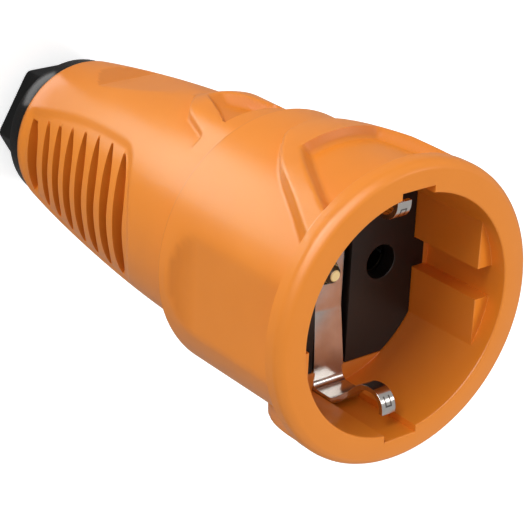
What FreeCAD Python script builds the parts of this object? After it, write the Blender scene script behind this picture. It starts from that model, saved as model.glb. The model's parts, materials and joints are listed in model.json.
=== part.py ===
import FreeCAD, Part
import math
import os

from FreeCAD import Vector

# Grounded socket connector for a round two pin plug with side earth clips, in millimetres.
# It stands on the rear face of its gland nut, with the socket mouth up.
# The frame's origin is the centre of that rear face and +Z runs out of the mouth.
# The pin holes lie on X and the earth clips on Y.
# A depth is measured from the mouth down towards the nut.

# Socket face
recess_radius = 19.5
recess_depth = 17.5
pin_spacing = 19.0
pin_hole_radius = 2.85
key_chord = 16.45
key_start = 3.0
key_groove_half = 2.6
insert_edge = 16.2
lug_reach = 18.6

# Housing, outer form
housing_length = 88.7
band_radius = 24.45
band_length = 3.4
band_round = 1.2
barrel_radius = 22.0
barrel_end = 33.5
barrel_cove_start = 21.2
barrel_cove_end = 36.0
rear_root_radius = 18.9
rear_crown = 1.2
tail_radius = 13.9
side_flat = 20.4
side_flat_end = 26.0
side_cove_length = 5.0

# Front rib, a rounded arch that is open towards the band
rib_foot_half = 18.0
rib_shoulder_half = 11.3
rib_shoulder_depth = 18.8
rib_apex_half = 4.6
rib_apex_depth = 25.5
rib_shoulder_round = 5.0
rib_apex_round = 2.0
rib_level_end = 14.0
rib_fade_end = 31.0
rib_fade_bulge = 0.42
window_front_depth = 3.6
window_back_depth = 17.5
window_low_y = 19.0
window_low_front_half = 14.3
window_low_back_half = 1.8
window_high_y = 26.0
window_high_front_half = 26.4
window_high_back_half = 13.9
window_front_corner = 1.0
window_corner = 1.6
window_floor = 22.3

# Rear boss, a pointed arch behind the barrel
boss_crest = 20.4
boss_level_end = 46.5
boss_fade_middle = (19.9, 50.0)
boss_fade_end = 54.3
boss_pad_half = 14.0
boss_pad_end = 41.0
boss_foot_half = 8.75
boss_shoulder_half = 6.7
boss_shoulder_depth = 47.6
boss_apex_half = 1.2
boss_apex_depth = 53.1
boss_bevel_start = (7.5, 19.0)
boss_bevel_end = (12.5, 13.75)
notch_floor = 18.5
notch_front_depth = 39.5
notch_low_y = 17.5
notch_low_front_half = 4.98
notch_low_back_half = 0.78
notch_low_back_depth = 45.03
notch_high_y = 21.5
notch_high_front_half = 6.3
notch_high_back_half = 1.5
notch_high_back_depth = 53.36

# Shallow scoop on top and below, in front of the tail
scoop_start = 58.0
scoop_low_depth = 74.5
scoop_low = 14.9
scoop_end = 80.7

# Grip panels on the two sides
panel_inset = 0.5
panel_front = 46.9
panel_end = 87.0
panel_corner_points = [(10.6, 51.4), (11.95, 52.75), (12.6, 54.6)]
panel_side_points = [(12.85, 58.0), (12.3, 64.0), (10.9, 75.5), (7.9, 87.0)]
groove_depth = 1.6
groove_tip_depth = 1.1
# Depths of each groove's front and back edge, at its middle and at its tips, and its half height
groove_edges = [(49.55, 52.65, 54.3, 55.0, 10.7), (54.55, 57.0, 58.8, 59.4, 10.9), (58.85, 61.3, 63.1, 63.7, 10.5),
                (63.15, 65.75, 67.2, 67.9, 10.0), (67.45, 70.05, 71.4, 72.1, 9.3), (71.85, 74.3, 75.2, 76.2, 8.4),
                (76.15, 78.45, 79.3, 80.2, 7.7), (80.7, 84.8, 84.7, 85.3, 6.4)]
groove_front_power = 3.1
groove_back_power = 2.0

# Housing, inside
insert_front_length = 12.5
cavity_radius = 15.5
cavity_end = 47.0
wire_space_radius = 12.0
gland_seat_depth = 62.0
gland_bore_clearance = 0.15

# Insert
insert_clearance = 0.1
strip_channel_depth = 1.75
channel_side_clearance = 0.35
pin_lip = 2.6
socket_chamber_radius = 4.0
insert_rear_length = 14.0
insert_rear_clearance = 0.3
fit_gap = 0.1

# Earth strip
strip_width = 6.0
strip_waist = 5.3
strip_waist_half = 6.0
strip_thickness = 0.8
strip_bend_outer = 18.65
strip_bend_radius = 1.2
tongue_knee_depth = 12.75
clip_height = 14.1
clip_front_depth = 2.85
clip_tip = 17.6
clip_width = 2.7
clip_rear_radius = 5.2
clip_front_radius = 3.0
clip_neck_depth = 13.3
clip_neck_length = 2.2
strip_hole_flats = 3.5
earth_notch_wall = 20.35
earth_notch_clearance = 0.15

# Contacts and terminals
pin_radius = 2.4
socket_wall = 0.6
socket_end_depth = 33.0
socket_slot = 0.8
spring_wall = 0.4
spring_length = 5.0
spring_gap_angle = 40.0
terminal_width = 6.4
terminal_height = 7.0
terminal_depth = 9.0
wire_hole_radius = 1.7
tab_width = 3.0
tab_thickness = 0.8
tab_length = 4.0
terminal_screw_radius = 1.25
terminal_screw_head_radius = 2.0
terminal_screw_head_height = 1.7
thread_gap = 0.05
earth_terminal_offset = 8.2
earth_tongue_width = 4.0
earth_tongue_thickness = 1.2

# Screws of the insert
centre_screw_radius = 1.45
centre_screw_head_radius = 2.9
screw_head_height = 2.0
centre_tip_radius = 0.8
centre_tip_proud = 0.4
centre_nut_flats = 5.5
centre_nut_height = 2.4
insert_screw_radius = 1.2
insert_screw_head_radius = 2.3
insert_screw_side = 8.0
insert_screw_low = 9.5
insert_screw_high = 10.5
insert_screw_reach = 6.0
slot_width = 0.7
slot_depth = 0.8

# Cord gland
gland_thread_radius = 8.4
gland_wall = 1.4
gland_flange_radius = 11.6
gland_flange_length = 2.5
gland_reach = 4.8
finger_wall = 1.2
finger_length = 11.0
finger_count = 8
finger_slot = 0.9
finger_nose = 1.6
finger_taper = 0.7
seal_wall = 1.0
seal_length = 8.0
slip_ring_thickness = 0.8
slip_ring_width = 1.1
nut_flange_radius = 13.2
nut_flange_length = 3.6
nut_across_flats = 21.3
nut_hex_length = 5.6
nut_corner_chamfer = 0.5
nut_lip = 2.2
nut_bore_radius = 6.2

# Places that follow from the sizes above
mouth_z = nut_hex_length + nut_flange_length + housing_length
insert_face = recess_depth
insert_split = insert_face + insert_front_length
insert_back = insert_split + insert_rear_length
channel_floor = insert_face + strip_channel_depth
strip_back = channel_floor
strip_face = strip_back - strip_thickness
strip_end_face = insert_face
tail_depth = housing_length
terminal_front = socket_end_depth + 0.5
terminal_back = terminal_front + terminal_depth
terminal_screw_depth = terminal_front + terminal_depth / 2
gland_end = tail_depth + gland_reach
gland_inner_radius = gland_thread_radius - gland_wall
finger_radius = gland_inner_radius - fit_gap
finger_bore = finger_radius - finger_wall
far = 60.0


def height(depth):
    """Z of a depth below the mouth."""
    return mouth_z - depth


def cylinder(radius, top_depth, low_depth, x=0.0, y=0.0):
    """Upright cylinder between two depths."""
    return Part.makeCylinder(radius, low_depth - top_depth, Vector(x, y, height(low_depth)))


def box(x_low, x_high, y_low, y_high, top_depth, low_depth):
    """Box between two depths."""
    corner = Vector(x_low, y_low, height(low_depth))
    return Part.makeBox(x_high - x_low, y_high - y_low, low_depth - top_depth, corner)


def hexagon(across_flats, top_depth, low_depth):
    """Upright hexagonal prism with two corners on the X axis."""
    radius = across_flats / math.sqrt(3)
    corners = [Vector(radius * math.cos(math.radians(60 * i)), radius * math.sin(math.radians(60 * i)),
                      height(low_depth)) for i in range(7)]
    return Part.Face(Part.makePolygon(corners)).extrude(Vector(0, 0, low_depth - top_depth))


def line(start, end):
    """Straight edge between two points."""
    return Part.LineSegment(start, end).toShape()


def arc(start, middle, end):
    """Round edge through three points."""
    return Part.Arc(start, middle, end).toShape()


def ring_point(radius, depth):
    """Point of a turned section."""
    return Vector(radius, 0, height(depth))


def turned(edges, x=0.0):
    """Solid turned from a closed section, about an upright axis at x."""
    face = Part.Face(Part.Wire(edges))
    return face.revolve(Vector(x, 0, 0), Vector(0, 0, 1), 360)


def turned_polygon(points, x=0.0):
    """Solid turned from straight section points given as radius from the axis and depth."""
    corners = [Vector(x + radius, 0, height(depth)) for radius, depth in points]
    corners.append(corners[0])
    face = Part.Face(Part.makePolygon(corners))
    return face.revolve(Vector(x, 0, 0), Vector(0, 0, 1), 360)


def rounded_wire(points, radii):
    """Closed wire through points, each corner rounded by its own radius."""
    edges = []
    count = len(points)
    joins = []
    for i in range(count):
        before, corner, after = points[i - 1], points[i], points[(i + 1) % count]
        joins.append(corner_arc(before, corner, after, radii[i]))
    for i in range(count):
        start, middle, end = joins[i]
        if middle is not None:
            edges.append(arc(start, middle, end))
        following = joins[(i + 1) % count][0]
        if (following - end).Length > 1e-6:
            edges.append(line(end, following))
    return Part.Wire(Part.sortEdges(edges)[0])


def corner_arc(before, corner, after, radius):
    """Start, middle and end of the arc that rounds a corner."""
    if radius <= 0:
        return corner, None, corner
    into = (before - corner).normalize()
    out = (after - corner).normalize()
    half = into.getAngle(out) / 2
    reach = radius / math.tan(half)
    centre = corner + (into + out).normalize() * (radius / math.sin(half))
    middle = centre + (corner - centre).normalize() * radius
    return corner + into * reach, middle, corner + out * reach


def plan_prism(points, radii):
    """Prism along Y over an outline of half width and depth, mirrored about the Z axis."""
    right = [Vector(half, -far, height(depth)) for half, depth in points]
    left = [Vector(-half, -far, height(depth)) for half, depth in reversed(points)]
    wire = rounded_wire(right + left, radii + list(reversed(radii)))
    return Part.Face(wire).extrude(Vector(0, 2 * far, 0))


def rear_radius(depth):
    """Radius of the rear body, whose outline is one shallow arc."""
    start = Vector(rear_root_radius, barrel_end, 0)
    end = Vector(tail_radius, tail_depth, 0)
    chord = end - start
    middle = (start + end) * 0.5
    across = Vector(chord.y, -chord.x, 0).normalize()
    swing = (chord.Length ** 2 / 4 + rear_crown ** 2) / (2 * rear_crown)
    centre = middle + across * (rear_crown - swing)
    return centre.x + math.sqrt(swing ** 2 - (depth - centre.y) ** 2)


def outer_body():
    """Turned body with the front band, the barrel and the tapered rear."""
    round_middle = band_round * (1 - math.sqrt(0.5))
    rear_middle = (barrel_cove_end + tail_depth) / 2
    cove_length = barrel_cove_end - barrel_end
    cove_rise = barrel_cove_start - rear_radius(barrel_cove_end)
    cove_middle = ring_point(barrel_cove_start - cove_rise * math.sqrt(0.5),
                             barrel_cove_end - cove_length * math.sqrt(0.5))
    edges = [
        line(ring_point(0, 0), ring_point(band_radius - band_round, 0)),
        arc(ring_point(band_radius - band_round, 0),
            ring_point(band_radius - round_middle, round_middle),
            ring_point(band_radius, band_round)),
        line(ring_point(band_radius, band_round), ring_point(band_radius, band_length)),
        line(ring_point(band_radius, band_length), ring_point(barrel_radius, band_length)),
        line(ring_point(barrel_radius, band_length), ring_point(barrel_radius, barrel_end)),
        line(ring_point(barrel_radius, barrel_end), ring_point(barrel_cove_start, barrel_end)),
        arc(ring_point(barrel_cove_start, barrel_end), cove_middle,
            ring_point(rear_radius(barrel_cove_end), barrel_cove_end)),
        arc(ring_point(rear_radius(barrel_cove_end), barrel_cove_end),
            ring_point(rear_radius(rear_middle), rear_middle),
            ring_point(tail_radius, tail_depth)),
        line(ring_point(tail_radius, tail_depth), ring_point(0, tail_depth)),
        line(ring_point(0, tail_depth), ring_point(0, 0)),
    ]
    return turned(edges)


def front_ribs():
    """Raised arches above and below, each with a window whose walls lean outwards."""
    middle_depth = (rib_level_end + rib_fade_end) / 2
    middle_radius = barrel_radius + rib_fade_bulge * (band_radius - barrel_radius)
    inner = barrel_radius - 1.0
    edges = [
        line(ring_point(inner, band_length), ring_point(band_radius, band_length)),
        line(ring_point(band_radius, band_length), ring_point(band_radius, rib_level_end)),
        arc(ring_point(band_radius, rib_level_end),
            ring_point(middle_radius, middle_depth),
            ring_point(barrel_radius, rib_fade_end)),
        line(ring_point(barrel_radius, rib_fade_end), ring_point(inner, rib_fade_end)),
        line(ring_point(inner, rib_fade_end), ring_point(inner, band_length)),
    ]
    outline = [(rib_foot_half, band_length), (rib_shoulder_half, rib_shoulder_depth),
               (rib_apex_half, rib_apex_depth)]
    arch = turned(edges).common(plan_prism(outline, [0, rib_shoulder_round, rib_apex_round]))
    above_floor = turned_polygon([(window_floor, 0), (far, 0), (far, barrel_end), (window_floor, barrel_end)])
    window = front_window()
    low_window = window.mirror(Vector(0, 0, 0), Vector(0, 1, 0))
    return arch.cut(window.fuse(low_window).common(above_floor))


def front_window():
    """Hollow of the upper front window, wider at the crest than at its floor."""
    radii = [window_front_corner, window_corner, window_corner, window_front_corner]
    levels = [(window_low_y, window_low_front_half, window_low_back_half),
              (window_high_y, window_high_front_half, window_high_back_half)]
    wires = []
    for y, front_half, back_half in levels:
        right = [Vector(front_half, y, height(window_front_depth)), Vector(back_half, y, height(window_back_depth))]
        left = [Vector(-point.x, y, point.z) for point in reversed(right)]
        wires.append(rounded_wire(right + left, radii))
    return Part.makeLoft(wires, True, True)


def rear_bosses():
    """Pointed arches behind the barrel, above and below, with a small window each."""
    inner = rear_radius(boss_fade_end) - 1.0
    front = barrel_end - 0.5
    middle_radius, middle_depth = boss_fade_middle
    edges = [
        line(ring_point(inner, front), ring_point(boss_crest, front)),
        line(ring_point(boss_crest, front), ring_point(boss_crest, boss_level_end)),
        arc(ring_point(boss_crest, boss_level_end), ring_point(middle_radius, middle_depth),
            ring_point(rear_radius(boss_fade_end), boss_fade_end)),
        line(ring_point(rear_radius(boss_fade_end), boss_fade_end), ring_point(inner, boss_fade_end)),
        line(ring_point(inner, boss_fade_end), ring_point(inner, front)),
    ]
    outline = [(boss_pad_half, front), (boss_pad_half, boss_pad_end), (boss_foot_half, boss_pad_end),
               (boss_shoulder_half, boss_shoulder_depth), (boss_apex_half, boss_apex_depth)]
    arch = turned(edges).common(plan_prism(outline, [0, 0, 0.3, 2.0, 0.8])).common(boss_bevels())
    high = rear_window()
    low = high.mirror(Vector(0, 0, 0), Vector(0, 1, 0))
    above_floor = turned_polygon([(notch_floor, 0), (far, 0), (far, tail_depth), (notch_floor, tail_depth)])
    return arch.cut(high.fuse(low).common(above_floor))


def boss_bevels():
    """Section along Z that slopes the two sides of each boss down to the body."""
    start_x, start_y = boss_bevel_start
    end_x, end_y = boss_bevel_end
    ridge_y = start_y + start_x * (start_y - end_y) / (end_x - start_x)
    low = height(boss_fade_end + 1)
    corners = [Vector(0, ridge_y, low), Vector(end_x, end_y, low), Vector(end_x, -end_y, low),
               Vector(0, -ridge_y, low), Vector(-end_x, -end_y, low), Vector(-end_x, end_y, low),
               Vector(0, ridge_y, low)]
    return Part.Face(Part.makePolygon(corners)).extrude(Vector(0, 0, boss_fade_end + 1))


def rear_window():
    """Hollow of the upper rear window, which widens outwards and rises gently at the back."""
    levels = [(notch_low_y, notch_low_front_half, notch_low_back_half, notch_low_back_depth),
              (notch_high_y, notch_high_front_half, notch_high_back_half, notch_high_back_depth)]
    wires = []
    for y, front_half, back_half, back_depth in levels:
        right = [Vector(front_half, y, height(notch_front_depth)), Vector(back_half, y, height(back_depth))]
        left = [Vector(-point.x, y, point.z) for point in reversed(right)]
        wires.append(Part.makePolygon(right + left + right[:1]))
    return Part.makeLoft(wires, True, True)


def side_flat_cutters():
    """Flats on the two sides of the barrel, each ending in a cove."""
    run_out = side_flat_end + side_cove_length
    rise = barrel_radius - side_flat
    swing = (side_cove_length ** 2 + rise ** 2) / (2 * rise)
    turn = math.asin(side_cove_length / swing) / 2
    middle = Vector(side_flat + swing * (1 - math.cos(turn)), -far,
                    height(side_flat_end + swing * math.sin(turn)))
    start = Vector(side_flat, -far, height(side_flat_end))
    end = Vector(barrel_radius, -far, height(run_out))
    outer_low = Vector(far, -far, height(run_out))
    outer_top = Vector(far, -far, height(band_length))
    inner_top = Vector(side_flat, -far, height(band_length))
    wire = Part.Wire([line(inner_top, start), arc(start, middle, end), line(end, outer_low),
                      line(outer_low, outer_top), line(outer_top, inner_top)])
    right = Part.Face(wire).extrude(Vector(0, 2 * far, 0))
    left = right.mirror(Vector(0, 0, 0), Vector(1, 0, 0))
    return [right, left]


def scoop_cutters():
    """Shallow hollows above and below, ahead of the tail."""
    start = Vector(-far, rear_radius(scoop_start), height(scoop_start))
    low = Vector(-far, scoop_low, height(scoop_low_depth))
    end = Vector(-far, rear_radius(scoop_end), height(scoop_end))
    middle_depth = (scoop_low_depth + scoop_end) / 2
    middle = Vector(-far, (low.y + end.y) / 2 - 0.15, height(middle_depth))
    outer_end = Vector(-far, far, height(scoop_end))
    outer_start = Vector(-far, far, height(scoop_start))
    wire = Part.Wire([line(start, low), arc(low, middle, end), line(end, outer_end),
                      line(outer_end, outer_start), line(outer_start, start)])
    top = Part.Face(wire).extrude(Vector(2 * far, 0, 0))
    bottom = top.mirror(Vector(0, 0, 0), Vector(0, 1, 0))
    return [top, bottom]


def side_point(half, depth):
    """Point of a side outline, well outside the body."""
    return Vector(-far, half, height(depth))


def panel_prism():
    """Side outline of a grip panel, as a prism through both sides."""
    points = panel_corner_points + panel_side_points
    first = panel_corner_points[0]
    edges = [arc(side_point(-first[0], first[1]), side_point(0, panel_front), side_point(first[0], first[1]))]
    for start, middle, end in (points[0:3], points[2:5], points[4:7]):
        for side in (-1, 1):
            edges.append(arc(side_point(side * start[0], start[1]), side_point(side * middle[0], middle[1]),
                             side_point(side * end[0], end[1])))
    last = points[-1]
    edges.append(line(side_point(last[0], last[1]), side_point(-last[0], last[1])))
    return Part.Face(Part.Wire(Part.sortEdges(edges)[0])).extrude(Vector(2 * far, 0, 0))


def panel_shell():
    """Space outside the sunk surface of the grip panels."""
    middle = (panel_front + panel_end) / 2
    edges = [
        arc(ring_point(rear_radius(panel_front - 2) - panel_inset, panel_front - 2),
            ring_point(rear_radius(middle) - panel_inset, middle),
            ring_point(rear_radius(tail_depth) - panel_inset, tail_depth)),
        line(ring_point(rear_radius(tail_depth) - panel_inset, tail_depth), ring_point(far, tail_depth)),
        line(ring_point(far, tail_depth), ring_point(far, panel_front - 2)),
        line(ring_point(far, panel_front - 2),
             ring_point(rear_radius(panel_front - 2) - panel_inset, panel_front - 2)),
    ]
    return turned(edges)


def panel_cutters():
    """Two sunk grip panels, one on each side."""
    sunk = panel_shell().common(panel_prism())
    right = sunk.common(box(0, far, -far, far, 0, tail_depth))
    left = sunk.common(box(-far, 0, -far, far, 0, tail_depth))
    return [right, left]


def groove_edge(middle_depth, tip_depth, half, power):
    """Curved edge of a groove in the YZ plane, from its lower to its upper tip."""
    points = []
    for step in range(-4, 5):
        share = abs(step) / 4
        points.append(Vector(0, half * step / 4, height(middle_depth + (tip_depth - middle_depth) * share ** power)))
    curve = Part.BSplineCurve()
    curve.interpolate(points)
    return curve.toShape(), points[0], points[-1]


def groove_cutter(front, back, front_tip, back_tip, half):
    """Crescent groove on the +X side, whose narrow ends bend towards the tail."""
    front_curve, front_low, front_high = groove_edge(front, front_tip, half, groove_front_power)
    back_curve, back_low, back_high = groove_edge(back, back_tip, half, groove_back_power)
    wire = Part.Wire([front_curve, line(front_high, back_high), back_curve, line(back_low, front_low)])
    crescent = Part.Face(wire).extrude(Vector(far, 0, 0))
    surface = rear_radius((front + back) / 2) - panel_inset
    body_drop = surface - math.sqrt(surface ** 2 - half ** 2)
    floor_drop = body_drop - groove_depth + groove_tip_depth
    floor = surface - groove_depth
    swing = (half ** 2 + floor_drop ** 2) / (2 * floor_drop)
    reach = half + 1
    end_x = floor - swing + math.sqrt(swing ** 2 - reach ** 2)
    z = height(back_tip + 1)
    low_end = Vector(end_x, -reach, z)
    high_end = Vector(end_x, reach, z)
    low_corner = Vector(far, -reach, z)
    high_corner = Vector(far, reach, z)
    wire = Part.Wire([arc(low_end, Vector(floor, 0, z), high_end), line(high_end, high_corner),
                      line(high_corner, low_corner), line(low_corner, low_end)])
    outside = Part.Face(wire).extrude(Vector(0, 0, back_tip - front + 2))
    return crescent.common(outside)


def groove_cutters():
    """All grip grooves of both sides."""
    right = [groove_cutter(*edges) for edges in groove_edges]
    left = [cutter.mirror(Vector(0, 0, 0), Vector(1, 0, 0)) for cutter in right]
    return right + left


def keyed_prism(top_depth, low_depth, shrink=0.0, lug=far):
    """Round bore with two flat keys, each split by a groove for the insert's lug."""
    bore = cylinder(recess_radius - shrink, top_depth, low_depth)
    between = box(-key_chord + shrink, key_chord - shrink, -far, far, top_depth, low_depth)
    lugs = box(-lug, lug, -key_groove_half + shrink, key_groove_half - shrink, top_depth, low_depth)
    return bore.common(between.fuse(lugs))


def insert_prism(top_depth, low_depth, shrink=0.0):
    """Outline of the insert, which is the keyed bore with a straight edge above and below."""
    shape = keyed_prism(top_depth, low_depth, shrink, lug_reach - shrink)
    return shape.common(box(-far, far, -insert_edge + shrink, insert_edge - shrink, top_depth, low_depth))


def earth_notches(low_depth):
    """Notches in the recess wall for the two earth clips."""
    half = strip_width / 2 + earth_notch_clearance
    return box(-half, half, -earth_notch_wall, earth_notch_wall, -1, low_depth)


def housing_hollow():
    """Everything that is open inside the housing."""
    parts = [
        cylinder(recess_radius, -1, key_start),
        keyed_prism(key_start, recess_depth),
        insert_prism(recess_depth, insert_split),
        earth_notches(channel_floor),
        cylinder(cavity_radius, insert_split, cavity_end),
        cylinder(wire_space_radius, cavity_end, gland_seat_depth),
        cylinder(gland_thread_radius + gland_bore_clearance, gland_seat_depth, tail_depth + 1),
    ]
    hollow = parts[0]
    for part in parts[1:]:
        hollow = hollow.fuse(part)
    return hollow


def housing():
    """One rubber moulding with its ribs, bosses, flats and grips."""
    body = outer_body()
    for cutter in side_flat_cutters():
        body = body.cut(cutter)
    body = body.fuse(front_ribs()).fuse(rear_bosses())
    for cutter in scoop_cutters() + panel_cutters() + groove_cutters():
        body = body.cut(cutter)
    return body.cut(housing_hollow()).removeSplitter()


def insert_front():
    """Front half of the insert, with the socket face."""
    body = insert_prism(insert_face, insert_split, insert_clearance)
    half = strip_width / 2 + channel_side_clearance
    cutters = [box(-half, half, -far, far, insert_face - 1, channel_floor)]
    for side in (-1, 1):
        x = side * pin_spacing / 2
        cutters.append(cylinder(pin_hole_radius, insert_face - 1, insert_split, x))
        cutters.append(cylinder(socket_chamber_radius, insert_face + pin_lip, insert_split + 1, x))
    cutters.append(hexagon(centre_nut_flats + 2 * fit_gap, insert_face, channel_floor + centre_nut_height + fit_gap))
    cutters.append(cylinder(centre_screw_radius + fit_gap, insert_face, insert_split + 1))
    tongue = earth_tongue_thickness / 2 + fit_gap
    cutters.append(box(-earth_tongue_width / 2 - fit_gap, earth_tongue_width / 2 + fit_gap,
                       -earth_terminal_offset - tongue, -earth_terminal_offset + tongue,
                       insert_face, insert_split + 1))
    for x, y in insert_screw_places():
        cutters.append(cylinder(insert_screw_radius + thread_gap, insert_split - insert_screw_reach - 0.5,
                                insert_split + 1, x, y))
    for cutter in cutters:
        body = body.cut(cutter)
    return body.removeSplitter()


def insert_screw_places():
    """Where the three screws pass through the insert."""
    return [(-insert_screw_side, -insert_screw_low), (insert_screw_side, -insert_screw_low),
            (0, insert_screw_high)]


def insert_rear():
    """Rear half of the insert, with a pocket for each terminal."""
    radius = cavity_radius - insert_rear_clearance
    body = cylinder(radius, insert_split, insert_back)
    cutters = [cylinder(centre_screw_radius + fit_gap, insert_split - 1, insert_back + 1)]
    for x, y in insert_screw_places():
        cutters.append(cylinder(insert_screw_radius + fit_gap, insert_split - 1, insert_back + 1, x, y))
    for side in (-1, 1):
        x = side * pin_spacing / 2
        cutters.append(cylinder(socket_chamber_radius, insert_split - 1, terminal_front, x))
        cutters.append(terminal_pocket(x, 0.0))
        cutters.append(driver_hole(x, 1))
    cutters.append(terminal_pocket(0.0, -earth_terminal_offset))
    tongue = earth_tongue_thickness / 2 + fit_gap
    cutters.append(box(-earth_tongue_width / 2 - fit_gap, earth_tongue_width / 2 + fit_gap,
                       -earth_terminal_offset - tongue, -earth_terminal_offset + tongue,
                       insert_split - 1, terminal_front))
    cutters.append(driver_hole(0.0, -1))
    for cutter in cutters:
        body = body.cut(cutter)
    return body.removeSplitter()


def terminal_pocket(x, y):
    """Pocket that holds a terminal block and is open to the rear."""
    half_x = terminal_width / 2 + fit_gap
    half_y = terminal_height / 2 + fit_gap
    return box(x - half_x, x + half_x, y - half_y, y + half_y, terminal_front, insert_back + 1)


def driver_hole(x, side):
    """Side hole that reaches a terminal screw."""
    radius = terminal_screw_head_radius + fit_gap
    start = Vector(x, 0, height(terminal_screw_depth))
    if side < 0:
        start = Vector(x, -earth_terminal_offset, height(terminal_screw_depth))
    return Part.makeCylinder(radius, far, start, Vector(0, side, 0))


def clip_edges():
    """Inner line of one arm of the earth strip, from its middle to the tip of the clip."""
    rise = strip_bend_outer - clip_height
    return [(strip_waist_half, strip_face), (insert_edge - 1.0, strip_end_face),
            (strip_bend_outer, strip_end_face), (strip_bend_outer, tongue_knee_depth),
            (clip_height, tongue_knee_depth - rise), (clip_height, clip_front_depth),
            (clip_tip, clip_front_depth)]


def offset_line(points, distance):
    """Polyline moved sideways by a distance, with its corners kept."""
    moved = []
    for i in range(len(points)):
        normals = []
        if i > 0:
            normals.append(side_normal(points[i - 1], points[i]))
        if i < len(points) - 1:
            normals.append(side_normal(points[i], points[i + 1]))
        total = Vector(0, 0, 0)
        for normal in normals:
            total = total + normal
        total.normalize()
        scale = distance / (total.dot(normals[0]))
        moved.append((points[i][0] + total.x * scale, points[i][1] + total.y * scale))
    return moved


def side_normal(start, end):
    """Unit normal on the outer side of a line from start to end."""
    run = Vector(end[0] - start[0], end[1] - start[1], 0).normalize()
    return Vector(-run.y, run.x, 0)


def strip_arm():
    """One arm of the earth strip, as wide as the strip."""
    inner = [(0.0, strip_face)] + clip_edges()
    outer = offset_line(inner, strip_thickness)
    t = strip_thickness
    inner_radii = [0, 8.0, 8.0, strip_bend_radius, 1.0 + t, clip_rear_radius, clip_front_radius, 0]
    outer_radii = [0, 8.0 - t, 8.0 + t, strip_bend_radius + t, 1.0, clip_rear_radius - t, clip_front_radius - t, 0]
    points = inner + list(reversed(outer))
    radii = inner_radii + list(reversed(outer_radii))
    wire = rounded_wire([Vector(-strip_width / 2, y, height(depth)) for y, depth in points], radii)
    return Part.Face(wire).extrude(Vector(strip_width, 0, 0))


def strip_waist_cutters():
    """Slight waist of the strip between its arms."""
    half = strip_width / 2
    waist = strip_waist / 2
    shapes = []
    for side in (-1, 1):
        points = [(side * half, -insert_edge), (side * waist, -strip_waist_half),
                  (side * waist, strip_waist_half), (side * half, insert_edge),
                  (side * (half + 1), insert_edge), (side * (half + 1), -insert_edge)]
        corners = [Vector(x, y, height(channel_floor + 1)) for x, y in points]
        corners.append(corners[0])
        shapes.append(Part.Face(Part.makePolygon(corners)).extrude(Vector(0, 0, strip_channel_depth + 2)))
    return shapes


def clip_neck_cutters():
    """Sides that are cut away where the arm narrows to the clip."""
    half = strip_width / 2
    neck = clip_width / 2
    shapes = []
    for side in (-1, 1):
        points = [(half + 1, clip_neck_depth), (half, clip_neck_depth), (neck, clip_neck_depth - clip_neck_length),
                  (neck, -1), (half + 1, -1)]
        corners = [Vector(side * x, -far, height(depth)) for x, depth in points]
        corners.append(corners[0])
        shapes.append(Part.Face(Part.makePolygon(corners)).extrude(Vector(0, 2 * far, 0)))
    return shapes


def earth_strip():
    """Springy earth strip, bent from one blank with a clip at each end."""
    arm = strip_arm()
    strip = arm.fuse(arm.mirror(Vector(0, 0, 0), Vector(0, 1, 0)))
    for cutter in strip_waist_cutters() + clip_neck_cutters():
        strip = strip.cut(cutter)
    strip = strip.cut(hexagon(strip_hole_flats, 0, insert_split))
    return strip.removeSplitter()


def pin_socket(side):
    """Rolled contact sleeve with two slots and a tab that enters its terminal."""
    x = side * pin_spacing / 2
    top = insert_face + pin_lip + fit_gap
    outer = pin_radius + socket_wall
    sleeve = cylinder(outer, top, socket_end_depth, x).cut(cylinder(pin_radius, top - 1, socket_end_depth - 0.8, x))
    slot = box(x - outer - 1, x + outer + 1, -socket_slot / 2, socket_slot / 2, top - 1, top + spring_length * 2)
    tab = box(x - tab_width / 2, x + tab_width / 2, -tab_thickness / 2, tab_thickness / 2,
              socket_end_depth - 0.4, terminal_front + tab_length)
    return sleeve.cut(slot).fuse(tab).removeSplitter()


def socket_spring(side):
    """Open steel ring that squeezes the contact sleeve."""
    x = side * pin_spacing / 2
    top = insert_face + pin_lip + 1.2
    inner = pin_radius + socket_wall + thread_gap
    ring = cylinder(inner + spring_wall, top, top + spring_length, x)
    ring = ring.cut(cylinder(inner, top - 1, top + spring_length + 1, x))
    half = math.radians(spring_gap_angle / 2)
    reach = 2 * inner
    corners = [Vector(x, 0, height(top + spring_length + 1)),
               Vector(x - reach * math.sin(half), reach * math.cos(half), height(top + spring_length + 1)),
               Vector(x + reach * math.sin(half), reach * math.cos(half), height(top + spring_length + 1))]
    corners.append(corners[0])
    gap = Part.Face(Part.makePolygon(corners)).extrude(Vector(0, 0, spring_length + 2))
    return ring.cut(gap)


def terminal_block(x, y, screw_side):
    """Brass block with a wire hole from the rear and a screw hole from one side."""
    block = box(x - terminal_width / 2, x + terminal_width / 2, y - terminal_height / 2, y + terminal_height / 2,
                terminal_front, terminal_back)
    start = Vector(x, y, height(terminal_screw_depth))
    screw = Part.makeCylinder(terminal_screw_radius + thread_gap, terminal_height, start, Vector(0, screw_side, 0))
    return block.cut(screw)


def terminal(side):
    """Terminal of one pin, bored right through for the tab and the wire."""
    x = side * pin_spacing / 2
    return terminal_block(x, 0.0, 1).cut(cylinder(wire_hole_radius, terminal_front - 1, terminal_back + 1, x))


def earth_terminal():
    """Earth terminal with a tongue that reaches the back of the earth strip."""
    y = -earth_terminal_offset
    block = terminal_block(0.0, y, -1).cut(cylinder(wire_hole_radius, terminal_front + 1.5, terminal_back + 1, 0, y))
    half = earth_tongue_thickness / 2
    tongue = box(-earth_tongue_width / 2, earth_tongue_width / 2, y - half, y + half,
                 channel_floor, terminal_front + 0.5)
    return block.fuse(tongue).removeSplitter()


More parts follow.
